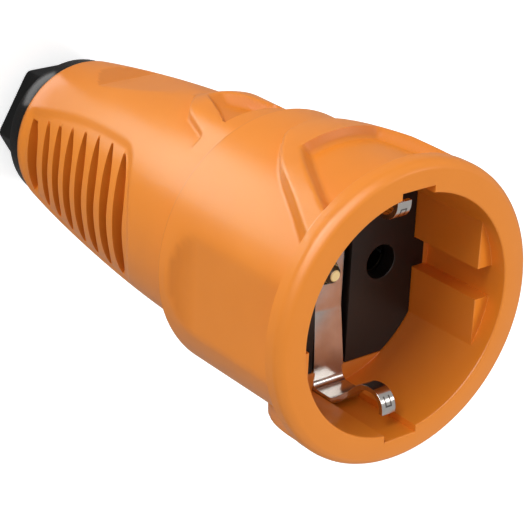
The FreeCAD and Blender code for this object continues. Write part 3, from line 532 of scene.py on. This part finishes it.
def panelMask(depth, side):
    # 1 inside the outline of a grip panel, 0 outside it
    front = depth - (gripPanel["front"] + side ** 2 / gripPanel["frontSweep"])
    fall = np.maximum(depth - gripPanel["sideLevel"], 0)
    edge = gripPanel["sideHalf"] - gripPanel["sideFall"] * fall ** 2 - np.abs(side)
    inward = softMin(front, edge, gripPanel["cornerRound"])
    inward = softMin(inward, gripPanel["end"] - depth, gripPanel["endRound"])
    rise = softMin(inward / gripPanel["edgeWidth"], 1.0, gripPanel["edgeRound"])
    return softMax(rise, 0.0, gripPanel["edgeRound"])


def grooveCurves(side):
    # depth of every groove edge at each height, then of the first and last line of the swept rows
    curves = [np.full_like(side, gripGrooves["sweepStart"])]
    for front, back, frontTip, backTip, half in gripGrooves["edges"]:
        share = np.clip(side / half, 0, 1)
        past = np.clip((side - half) / gripGrooves["fadeHeight"], 0, 1)
        sweep = (frontTip - front + backTip - back) / 2
        frontEdge = (front, frontTip, gripGrooves["frontPower"])
        backEdge = (back, backTip, gripGrooves["backPower"])
        for middle, tip, power in (frontEdge, backEdge):
            curve = middle + (tip - middle) * share ** power
            curves.append(curve * (1 - past) + (middle + sweep) * past)
    return curves + [np.full_like(side, tailDepth - housing["tailRound"])]


def grooveRows():
    # rows of the swept stretch: the first of its two curves, how far it lies from that to the next,
    # how deep the groove is there, and whether that is on the floor
    edges = [value for edge in gripGrooves["edges"] for value in edge[:2]]
    levels = [gripGrooves["sweepStart"]] + edges + [tailDepth - housing["tailRound"]]
    lip, toe = gripGrooves["lip"], gripGrooves["toe"]
    wall, ribGap = gripGrooves["wallWidth"], gripGrooves["ribGap"]
    rows = []
    for k in range(len(levels) - 1):
        width = levels[k + 1] - levels[k]
        if k == 0:
            steps = np.linspace(0, width - ribGap, gripGrooves["frontRows"])
        elif k % 2:
            steps = [0, lip, wall, width / 2, width - toe, width - wall, width - lip]
        elif k < len(levels) - 2:
            steps = [0, ribGap, width / 2, width - ribGap]
        else:
            steps = gripGrooves["rearSteps"]
        for step in steps:
            depthShare, onFloor = 0.0, 0
            if k % 2:
                near = min(step, width - step) / wall
                depthShare = min(near, 1) ** 2 * (3 - 2 * min(near, 1))
                onFloor = int(near > gripGrooves["floorFrom"])
            rows.append((k, step / width, depthShare, onFloor))
    return rows


def outerRadius(depth, angles, window=True):
    # the outside of the housing, with its windows open or filled
    across, upright = np.abs(np.cos(angles)), np.abs(np.sin(angles))
    radius = bodyRadius(depth, across)
    radius = addRearBoss(radius, depth, across, upright, window)
    radius = addFrontRib(radius, depth, across, upright, window)
    radius = cutScoop(radius, depth, upright)
    inset = gripPanel["inset"] * panelMask(depth, radius * upright)
    radius = radius - np.where(across > gripPanel["leastAcross"], inset, 0)
    bandFall = bandRadius - (depth - housing["bandLength"]) * housing["bandSlope"]
    band = softMin(bandRadius, bandFall, housing["bandRootRound"])
    nearBand = depth < housing["bandLength"] + housing["bandReach"]
    return np.where(nearBand, softMax(radius, band, housing["bandRootRound"]), radius)


def recessRadii(angles):
    # radius of the recess in front of the keys, along the keys, and of the insert's seat
    across, upright = np.abs(np.cos(angles)) + 1e-6, np.abs(np.sin(angles)) + 1e-6
    notch = np.minimum(housing["notchWall"] / upright, housing["notchHalf"] / across)
    groove = np.minimum(housing["recessRadius"], housing["keyGrooveHalf"] / upright)
    chord = np.minimum(housing["recessRadius"], housing["keyChord"] / across)
    opened = np.maximum(housing["recessRadius"], notch)
    keyed = np.maximum(np.maximum(chord, groove), notch)
    lug = np.minimum(housing["lugReach"] / across, housing["keyGrooveHalf"] / upright)
    seat = np.minimum(np.maximum(chord, lug), housing["insertEdge"] / upright)
    notched = np.clip((notch - housing["channelStart"]) * housing["channelSlope"], 0, 1)
    return opened, keyed, seat, notched


meshRows = {
    # directions in a quarter turn, in degrees, at the corners of key grooves, chords, insert and notches
    "corners": (7.3, 7.5, 7.66, 7.8, 8.0, 8.3, 8.6, 8.8, 8.98, 9.15, 9.4, 32.1, 32.48, 32.9, 55.8, 56.18,
                56.6, 80.3, 80.55, 80.7, 80.8, 80.9, 81.0, 81.1, 81.25, 81.5),
    # degrees between other directions near the top and bottom and at the sides, and where they change over
    "fineTurn": 0.9, "wideTurn": 2.4, "changeOver": 54, "leastTurn": 0.3, "lastTurn": 359.3,
    # start, end and count of the rows between the band and the swept rows
    "spans": ((1.2, 3.15, 3), (3.15, 3.9, 7), (3.9, 19.0, 30), (19.0, 24.0, 10), (24.0, 25.8, 9),
              (25.8, 33.2, 8), (33.2, 34.0, 8), (34.0, 36.4, 8), (36.4, 38.0, 4)),
    # rows across the ledge behind the keys: share of its width, and depth in parts of its edge rounding
    "ledge": ((0.0, 0.9), (0.012, 0.6), (0.03, 0.25), (0.06, 0.06), (0.12, 0.0), (0.6, 0.0), (0.955, 0.0),
              (0.97, 0.0)),
    # rows of the straight walls of the recess
    "keyWall": (12.0, 8.0), "frontWall": 1.6,
}


def housingAngles():
    quarter = meshRows["corners"]
    special = [turn for a in quarter for turn in (a, 180 - a, 180 + a, 360 - a)]
    even = [0.0]
    while even[-1] < 359:
        nearTop = abs((even[-1] % 180) - 90) < meshRows["changeOver"]
        even.append(even[-1] + (meshRows["fineTurn"] if nearTop else meshRows["wideTurn"]))
    free = [a for a in even if min(abs(a - b) for b in special) > meshRows["leastTurn"]]
    return np.radians(sorted([a for a in free if a < meshRows["lastTurn"]] + special))


def housingDepths():
    # depths of the rows between the band and the swept rows, closer together where there is more shape
    depths = []
    for start, end, count in meshRows["spans"]:
        depths += [start + (end - start) * i / count for i in range(count)]
    return depths


def sweptRows(angles):
    # rows that follow the grooves, and the shade along each of them
    upright = np.abs(np.sin(angles))
    rows, shades = [], []
    for k, share, depthShare, onFloor in grooveRows():
        side = (rearRadius(gripGrooves["middleDepth"]) - gripPanel["inset"]) * upright
        for _ in range(3):      # the depth of a curve hangs on the height, and the height on the depth
            curves = grooveCurves(side)
            depth = curves[k] * (1 - share) + curves[k + 1] * share
            side = (rearRadius(depth) - gripPanel["inset"]) * upright
        radius = outerRadius(depth, angles)
        shade = hollowShade(depth, angles)
        if depthShare > 0:
            half = gripGrooves["edges"][k // 2][4]
            towardsTip = np.clip(side / half, 0, 1) ** 2
            deep = gripGrooves["depth"] + (gripGrooves["tipDepth"] - gripGrooves["depth"]) * towardsTip
            inward = np.clip((half - side) / gripGrooves["tipWidth"], 0, 1)
            inward = inward * inward * (3 - 2 * inward)
            radius = radius - deep * depthShare * inward
            # painted light: the upper half of each groove floor keeps less of the painted shade, as the light
            # falls from above
            height = side / half * np.sign(np.sin(angles))
            lit = np.clip(height * gripGrooves["litSlope"] + gripGrooves["litStart"], 0, 1)
            lit = gripGrooves["litFloor"] * onFloor * lit
            dark = min(depthShare * gripGrooves["shadeSlope"], 1) * inward
            shade = np.maximum(shade, dark * (1 - lit))
        rows.append((radius, depth))
        shades.append(shade)
    return rows, shades


def mouthRows(opened):
    # rounded edge of the recess, the flat rim and the bevelled edge of the band
    rows = []
    edge, corner = housing["mouthEdgeRound"], housing["bandRound"]
    for turn in np.radians((90, 67.5, 45, 22.5, 0)):
        rows.append((opened + edge - edge * math.sin(turn), edge - edge * math.cos(turn)))
    rows.append((opened + edge + housing["rimFlat"], 0.0))
    bow = corner * (1 - housing["bandFlat"])
    for turn in np.radians((0, 18, 36, 54, 72, 90)):
        flat = corner * housing["bandFlat"] * turn / (math.pi / 2)
        radius = bandRadius - corner + flat + bow * math.sin(turn)
        rows.append((radius, flat + bow * (1 - math.cos(turn))))
    return rows


def outsideRows(angles):
    # rows from the band to the tail, and the shade along each of them
    rows, shades = [], []
    arrisStart, arrisEnd = hollows["arrisDepths"]
    for depth in housingDepths()[1:]:
        depths = np.full_like(angles, depth)
        rows.append((outerRadius(depths, angles), depth))
        # painted shade: a thin dark line along the barrel's back edge
        arris = hollows["arris"] if arrisStart < depth < arrisEnd else 0
        shades.append(np.maximum(hollowShade(depths, angles), arris))
    swept, sweptShades = sweptRows(angles)
    return rows + swept, shades + sweptShades


def cavityRows(seat):
    # the tail's end, the gland's bore, the space for the wires and the cavity behind the insert
    tail, bore, edge = rearRadius(tailDepth), housing["glandBore"], housing["tailRound"]
    wireSpace, cavity = housing["wireSpaceRadius"], housing["cavityRadius"]
    return [(tail - edge * 0.3, tailDepth - edge * 0.3), (tail - edge, tailDepth), (bore + edge, tailDepth),
            (bore, tailDepth - edge), (bore, housing["glandSeat"]), (wireSpace, housing["glandSeat"]),
            (wireSpace, housing["cavityEnd"]), (cavity, housing["cavityEnd"]),
            (cavity, housing["insertSplit"]), (seat, housing["insertSplit"])]


def recessRows(opened, keyed, seat, notched):
    # the insert's seat, the floor with its fine edges, the keys, their ledge and the wall up to the mouth
    floor = housing["recessDepth"] + (housing["channelFloor"] - housing["recessDepth"]) * notched
    start, fine = housing["keyStart"], housing["recessRound"]
    edge = fine * np.clip((keyed - seat) / (4 * fine), 0, 1)
    lift = fine - edge
    rows = [(seat, floor + 1), (seat, floor + fine), (seat + edge, floor + lift * 0.75)]
    rows += [(keyed - 3 * edge, floor + lift * 0.5), (keyed - edge, floor + lift * 0.25)]
    rows += [(keyed, floor - fine), (keyed, floor - 2 * fine), (keyed, floor - 1)]
    rows += [(keyed, depth) for depth in meshRows["keyWall"]]
    rows += [(keyed, start + 1), (keyed, start + 2 * fine)]
    for share, drop in meshRows["ledge"]:
        spread = 0.8 * fine * share * (1 - np.clip((opened - keyed) * 10, 0, 1))
        rows.append((keyed + (opened - keyed) * share, start + 2 * fine * drop - spread))
    return rows + [(opened, start - fine), (opened, start - 2 * fine), (opened, meshRows["frontWall"])]


def buildHousing():
    angles = housingAngles()
    opened, keyed, seat, notched = recessRadii(angles)
    mouth = mouthRows(opened)
    outside, shades = outsideRows(angles)
    rows = mouth + outside + cavityRows(seat) + recessRows(opened, keyed, seat, notched)
    points, faces = ringMesh(rows, angles)
    piece = addPiece("rubberHousing", points, faces, materials["grippedRubber"], "orange_rubber", "housing")
    shade = np.zeros((len(rows), len(angles)))
    shade[len(mouth):len(mouth) + len(shades)] = shades
    piece.data.attributes.new("grooveShade", "FLOAT", "POINT").data.foreach_set("value", shade.ravel())
    piece.data.set_sharp_from_angle(angle=math.radians(housing["sharpAngle"]))
    print("housing triangles", len(rows) * len(angles) * 2)


buildHousing()
print("housing made")


softEdges = {
    # node: edge rounding in millimetres, the steps it is made of and the angle from which an edge is rounded
    "insert_front": (0.14, 2, 30), "earth_strip": (0.13, 3, 35), "centre_screw": (0.12, 3, 40),
    "pin_socket_left": (0.08, 2, 40), "pin_socket_right": (0.08, 2, 40), "slip_ring": (0.1, 2, 40),
}
meshClean = {"mergeDistance": 0.002, "flatAngle": 0.6, "flatWeight": 100}
# painted shade: the pin sockets and the centre screw get brass painted dark
roundedFinishes = {
    "pin_socket_left": "shadedSocketBrass", "pin_socket_right": "shadedSocketBrass", "centre_screw": "shadedScrewBrass",
}


def roundedCopy(node, material, slot):
    # the node's own solid with its doubles merged, its flat faces joined and its edges rounded
    width, steps, angle = softEdges[node]
    mesh = bpy.data.meshes.new(node + "Rounded")
    shape = bmesh.new()
    shape.from_mesh(nodes[node].data)
    bmesh.ops.remove_doubles(shape, verts=shape.verts, dist=meshClean["mergeDistance"] * mm)
    flatAngle = math.radians(meshClean["flatAngle"])
    bmesh.ops.dissolve_limit(shape, angle_limit=flatAngle, verts=shape.verts, edges=shape.edges)
    shape.to_mesh(mesh)
    shape.free()
    mesh.polygons.foreach_set("use_smooth", [True] * len(mesh.polygons))
    piece = addObject(node + "Rounded", mesh)
    bevel = piece.modifiers.new("edges", "BEVEL")
    bevel.width = width * mm
    bevel.segments = steps
    bevel.limit_method = "ANGLE"
    bevel.angle_limit = math.radians(angle)
    bevel.use_clamp_overlap = True
    flat = piece.modifiers.new("flatFaces", "WEIGHTED_NORMAL")
    flat.weight = meshClean["flatWeight"]
    flat.keep_sharp = True
    finished = plainCopy(piece)
    finished.data.materials.clear()
    finished.data.materials.append(material)
    settle(finished, slot, node)


def plainCopy(piece):
    # the evaluated shape as a plain mesh, and the object with the modifier is taken away
    name = piece.name
    depsgraph = bpy.context.evaluated_depsgraph_get()
    mesh = bpy.data.meshes.new_from_object(piece.evaluated_get(depsgraph))
    bpy.data.objects.remove(piece)
    return addObject(name, mesh)


for part in frame["record"]["subparts"]:
    if part["node"] in softEdges:
        finish = roundedFinishes.get(part["node"], slotFinishes[part["material_slot"]])
        roundedCopy(part["node"], materials[finish], part["material_slot"])
print("insert, earth strip and contacts made")


glandNut = {
    "flangeRadius": 13.2, "flangeBottom": 5.6, "acrossFlats": 21.3, "boreRadius": 6.2, "lip": 2.2,
    "threadRadius": 8.5, "edgeRound": 0.25, "faceRound": 0.45, "cornerCut": 0.12, "cornerRound": 0.1,
    # rows under the flange: how far out and how far down each lies from where the flats meet it
    "fillet": ((0.25, 0), (0.08, 0.04), (0, 0.22), (0, 0.6)),
    # the cone that takes off the corners: how far it cuts in at the face, its slope, its edge and its rows
    "coneInset": 0.8, "coneSlope": 1.75, "coneRound": 0.15,
    "coneHeights": (3.0, 1.6, 1.1, 0.8, 0.6, 0.45, 0.3, 0.18, 0.08, 0.0),
    # rows of the bore's edge: how far out and how far up
    "boreEdge": ((0.6, 0.0), (0.18, 0.05), (0, 0.25)),
    # directions beside each corner, in degrees, and the steps of the flat between two corners
    "cornerTurns": (-3.0, -1.6, -0.8, -0.3, 0.0, 0.3, 0.8, 1.6, 3.0), "flatSteps": 12,
}


def buildGlandNut():
    # flange and hexagon of the gland's nut, as rows round its axis
    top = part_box("gland_nut")[1].z / mm
    degrees = []
    for corner in range(0, 360, 60):
        degrees += [(corner + turn) % 360 for turn in glandNut["cornerTurns"]]
        degrees += [corner + 60 * i / glandNut["flatSteps"] for i in range(1, glandNut["flatSteps"])]
    angles = np.radians(sorted(degrees))
    turned = np.mod(angles + math.pi / 6, math.pi / 3) - math.pi / 6
    toFlat = math.pi / 6 - np.abs(turned)
    cornerRadius = glandNut["acrossFlats"] / 2 / math.cos(math.pi / 6)
    flat = glandNut["acrossFlats"] / 2 / np.cos(toFlat)
    flat = softMin(flat, cornerRadius - glandNut["cornerCut"], glandNut["cornerRound"])
    edge, face = glandNut["edgeRound"], glandNut["faceRound"]
    rim, joint = glandNut["flangeRadius"], glandNut["flangeBottom"]
    turns = np.linspace(0, math.pi / 2, 5)
    rows = [(rim - edge * (1 - math.sin(t)), top - edge * (1 - math.cos(t))) for t in turns]
    rows += [(rim, joint + edge)]
    rows += [(rim - edge * (1 - math.cos(t)), joint + edge * (1 - math.sin(t))) for t in turns[1:]]
    rows += [(flat + out, joint - down) for out, down in glandNut["fillet"]]
    for height in glandNut["coneHeights"]:
        cone = cornerRadius - glandNut["coneInset"] + height * glandNut["coneSlope"]
        rounded = flat - face + math.sqrt(max(face ** 2 - max(face - height, 0) ** 2, 0))
        rows.append((softMin(rounded, cone, glandNut["coneRound"]), height))
    rows += [(glandNut["boreRadius"] + out, up) for out, up in glandNut["boreEdge"]]
    rows += [(glandNut["boreRadius"], glandNut["lip"]), (glandNut["threadRadius"], glandNut["lip"]),
             (glandNut["threadRadius"], top)]
    points, faces = ringMesh([(radius, mouthZ - height) for radius, height in rows], angles)
    addPiece("glandNutTurned", points, faces, materials["glandPlastic"], "gland_plastic", "gland_nut")


clampFingers = {
    # root and tip are depths
    "count": 8, "outer": 6.88, "inner": 5.72, "slot": 0.9, "root": 84.2, "tip": 95.1, "steps": 8,
    "nose": 1.6, "noseTaper": 0.7, "noseShare": 0.35, "noseStart": 0.5, "tipRound": 0.15, "boreRound": 0.12,
    "sharpAngle": 35,
}


def fingerMesh():
    # one finger of the cord clamp, which is a slice of a tube with a tapered nose
    outer, inner, taper = clampFingers["outer"], clampFingers["inner"], clampFingers["noseTaper"]
    root, tip, nose = clampFingers["root"], clampFingers["tip"], clampFingers["tip"] - clampFingers["nose"]
    tipRound, boreRound = clampFingers["tipRound"], clampFingers["boreRound"]
    spread = math.pi / clampFingers["count"] - clampFingers["slot"] / 2 / inner
    turns = np.linspace(-spread, spread, clampFingers["steps"] + 1)
    section = [(inner, root), (outer, root), (outer, nose),
               (outer - taper * clampFingers["noseShare"], nose + clampFingers["noseStart"]),
               (outer - taper, tip - tipRound), (outer - taper - tipRound, tip),
               (inner + boreRound, tip), (inner, tip - boreRound)]
    points, faces = [], []
    for turn in turns:
        points += [(r * math.cos(turn) * mm, r * math.sin(turn) * mm, (mouthZ - d) * mm) for r, d in section]
    count = len(section)
    for i in range(len(turns) - 1):
        for k in range(count):
            n = (k + 1) % count
            faces.append((i * count + k, i * count + n, (i + 1) * count + n, (i + 1) * count + k))
    faces.append(tuple(range(count)))
    faces.append(tuple((len(turns) - 1) * count + k for k in reversed(range(count))))
    mesh = bpy.data.meshes.new("clampFinger")
    mesh.from_pydata(points, [], faces)
    shape = bmesh.new()
    shape.from_mesh(mesh)
    bmesh.ops.recalc_face_normals(shape, faces=shape.faces)
    shape.to_mesh(mesh)
    shape.free()
    return mesh


def ringOfCopiesTree():
    # places copies of the object's own mesh round the upright axis
    tree = bpy.data.node_groups.new("ringOfCopies", "GeometryNodeTree")
    tree.is_modifier = True
    tree.interface.new_socket("Geometry", in_out="INPUT", socket_type="NodeSocketGeometry")
    sockets = {}
    for name, kind in (("Copies", "NodeSocketInt"), ("Finish", "NodeSocketMaterial")):
        sockets[name] = tree.interface.new_socket(name, in_out="INPUT", socket_type=kind)
    tree.interface.new_socket("Geometry", in_out="OUTPUT", socket_type="NodeSocketGeometry")
    start, end = tree.nodes.new("NodeGroupInput"), tree.nodes.new("NodeGroupOutput")
    places = tree.nodes.new("GeometryNodePoints")
    link(start.outputs["Copies"], places.inputs["Count"])
    index = tree.nodes.new("GeometryNodeInputIndex")
    share = mathNode(tree, "DIVIDE", index.outputs[0], start.outputs["Copies"])
    angles = tree.nodes.new("ShaderNodeCombineXYZ")
    link(mathNode(tree, "MULTIPLY", share, 2 * math.pi), angles.inputs["Z"])
    copies = tree.nodes.new("GeometryNodeInstanceOnPoints")
    link(places.outputs[0], copies.inputs["Points"])
    link(start.outputs["Geometry"], copies.inputs["Instance"])
    link(angles.outputs[0], copies.inputs["Rotation"])
    real = tree.nodes.new("GeometryNodeRealizeInstances")
    finish = tree.nodes.new("GeometryNodeSetMaterial")
    link(copies.outputs[0], real.inputs[0])
    link(real.outputs[0], finish.inputs["Geometry"])
    link(start.outputs["Finish"], finish.inputs["Material"])
    link(finish.outputs[0], end.inputs["Geometry"])
    return tree, sockets


def buildClampFingers():
    tree, sockets = ringOfCopiesTree()
    piece = addObject("clampFingerRing", fingerMesh())
    modifier = piece.modifiers.new("ring", "NODES")
    modifier.node_group = tree
    modifier[sockets["Copies"].identifier] = clampFingers["count"]
    modifier[sockets["Finish"].identifier] = materials["glandPlastic"]
    finished = plainCopy(piece)
    finished.data.polygons.foreach_set("use_smooth", [True] * len(finished.data.polygons))
    finished.data.set_sharp_from_angle(angle=math.radians(clampFingers["sharpAngle"]))
    settle(finished, "gland_plastic", "clamp_fingers")


buildGlandNut()
buildClampFingers()
print("gland nut and clamp fingers made")


cameraView = {"place": (-179.8, 126.0, 286.8), "right": (0.792, 0.041, 0.610), "up": (0.224, 0.909, -0.352),
              "lens": 133.69, "shift": (0.0031, 0.0048), "sensor": 36, "clip": (0.01, 20)}


def addCamera():
    camera = addObject("camera", bpy.data.cameras.new("camera"))
    right, up = Vector(cameraView["right"]).normalized(), Vector(cameraView["up"])
    back = right.cross(up).normalized()
    up = back.cross(right)
    turn = Matrix((right, up, back)).transposed().to_4x4()
    camera.matrix_world = Matrix.Translation(Vector(cameraView["place"]) * mm) @ turn
    camera.data.lens = cameraView["lens"]
    camera.data.sensor_width = cameraView["sensor"]
    camera.data.shift_x, camera.data.shift_y = cameraView["shift"]
    camera.data.clip_start, camera.data.clip_end = cameraView["clip"]
    scene.camera = camera


def addLamp(name, place, target, size, power, colour=(1, 1, 1)):
    light = bpy.data.lights.new(name, "AREA")
    light.shape = "RECTANGLE"
    light.size, light.size_y = size
    light.energy = power
    light.color = colour
    lamp = addObject(name, light)
    lamp.location = Vector(place)
    lamp.rotation_euler = (Vector(place) - Vector(target)).to_track_quat("Z", "Y").to_euler()
    lamp.visible_camera = False
    return lamp


studio = {
    # half size of the floor in metres, its glow for the camera, its grey as seen and as reflected
    "floorHalf": 3.0, "floorGlow": 0.6, "floorGrey": (0.8, 0.8, 0.8), "reflectedGrey": (0.3, 0.3, 0.3),
    "floorRoughness": 0.9, "worldStrength": 0.55,
}


def addStage():
    # white floor: its own brightness is for the camera, reflections see a greyer one, and shadows show on it
    material, tree, shader = newMaterial("floorWhite")
    shader.inputs["Roughness"].default_value = studio["floorRoughness"]
    shader.inputs["Emission Color"].default_value = (1, 1, 1, 1)
    path = tree.nodes.new("ShaderNodeLightPath")
    glow = mathNode(tree, "MULTIPLY", path.outputs["Is Camera Ray"], studio["floorGlow"])
    link(glow, shader.inputs["Emission Strength"])
    greys = {"A": (*studio["floorGrey"], 1), "B": (*studio["reflectedGrey"], 1)}
    shades = addNode(tree, "ShaderNodeMix", greys, data_type="RGBA")
    link(path.outputs["Is Glossy Ray"], shades.inputs["Factor"])
    link(shades.outputs["Result"], shader.inputs["Base Color"])
    half = studio["floorHalf"]
    mesh = bpy.data.meshes.new("floor")
    corners = [(-half, -half, 0), (half, -half, 0), (half, half, 0), (-half, half, 0)]
    mesh.from_pydata(corners, [], [(0, 1, 2, 3)])
    mesh.materials.append(material)
    floor = addObject("floor", mesh)


def addWorld():
    world = bpy.data.worlds.new("studio")
    world.use_nodes = True
    background = world.node_tree.nodes["Background"]
    background.inputs["Color"].default_value = (1, 1, 1, 1)
    background.inputs["Strength"].default_value = studio["worldStrength"]
    scene.world = world
    scene.view_settings.view_transform = "Standard"


lamps = (
    # name, place and target in metres, size, watts, and the rays that don't see it
    ("keyLamp", (-0.55, 0.72, 0.27), (0, 0, 0.05), (0.32, 0.32), 2.6, None),
    ("frontLamp", (0.5, -0.3, 1.2), (0, 0, 0.1), (0.4, 0.4), 5.9, "visible_glossy"),
    ("sideLamp", (-0.13, 0.37, 0.02), (0, 0, 0.05), (0.3, 0.03), 0.32, "visible_glossy"),
    ("rimGlow", (-0.38, 0.68, 0.6), (0, 0, 0.09), (1.0, 0.7), 9.5, "visible_diffuse"),
    ("clipGlow", (0.58, 0.38, 0.78), (0, 0, 0.08), (0.2, 0.2), 0.5, "visible_diffuse"),
)
floorGlow = {
    # flat lamps just over the floor, there only for the long soft reflection on the body
    "azimuth": 126.0, "height": 0.003, "tint": (0.55, 0.95, 1.0), "untinted": "flangeGlow",
    # name, distance from the axis to the middle, length along it and width across it in metres, radiance
    "strips": (("flangeGlow", 0.0163, 0.003, 0.012, 2.5), ("tailGlow", 0.026, 0.012, 0.014, 0.9),
               ("nearGlow", 0.042, 0.020, 0.026, 2.5), ("middleGlow", 0.064, 0.026, 0.052, 4.6),
               ("farGlow", 0.094, 0.030, 0.080, 5.0)),
}


def addFloorGlow():
    turn = math.radians(floorGlow["azimuth"])
    for name, distance, length, width, radiance in floorGlow["strips"]:
        place = (distance * math.cos(turn), distance * math.sin(turn), floorGlow["height"])
        colour = (1, 1, 1) if name == floorGlow["untinted"] else floorGlow["tint"]
        strip = addLamp(name, place, (0, 0, 1), (width, length), radiance * math.pi * width * length, colour)
        strip.rotation_euler = (math.pi, 0, turn - math.pi / 2)
        strip.visible_diffuse = False


addCamera()
addStage()
addWorld()
for name, place, target, size, power, unseenBy in lamps:
    lamp = addLamp(name, place, target, size, power)
    if unseenBy:
        setattr(lamp, unseenBy, False)
addFloorGlow()
print("stage, lamps and camera ready")
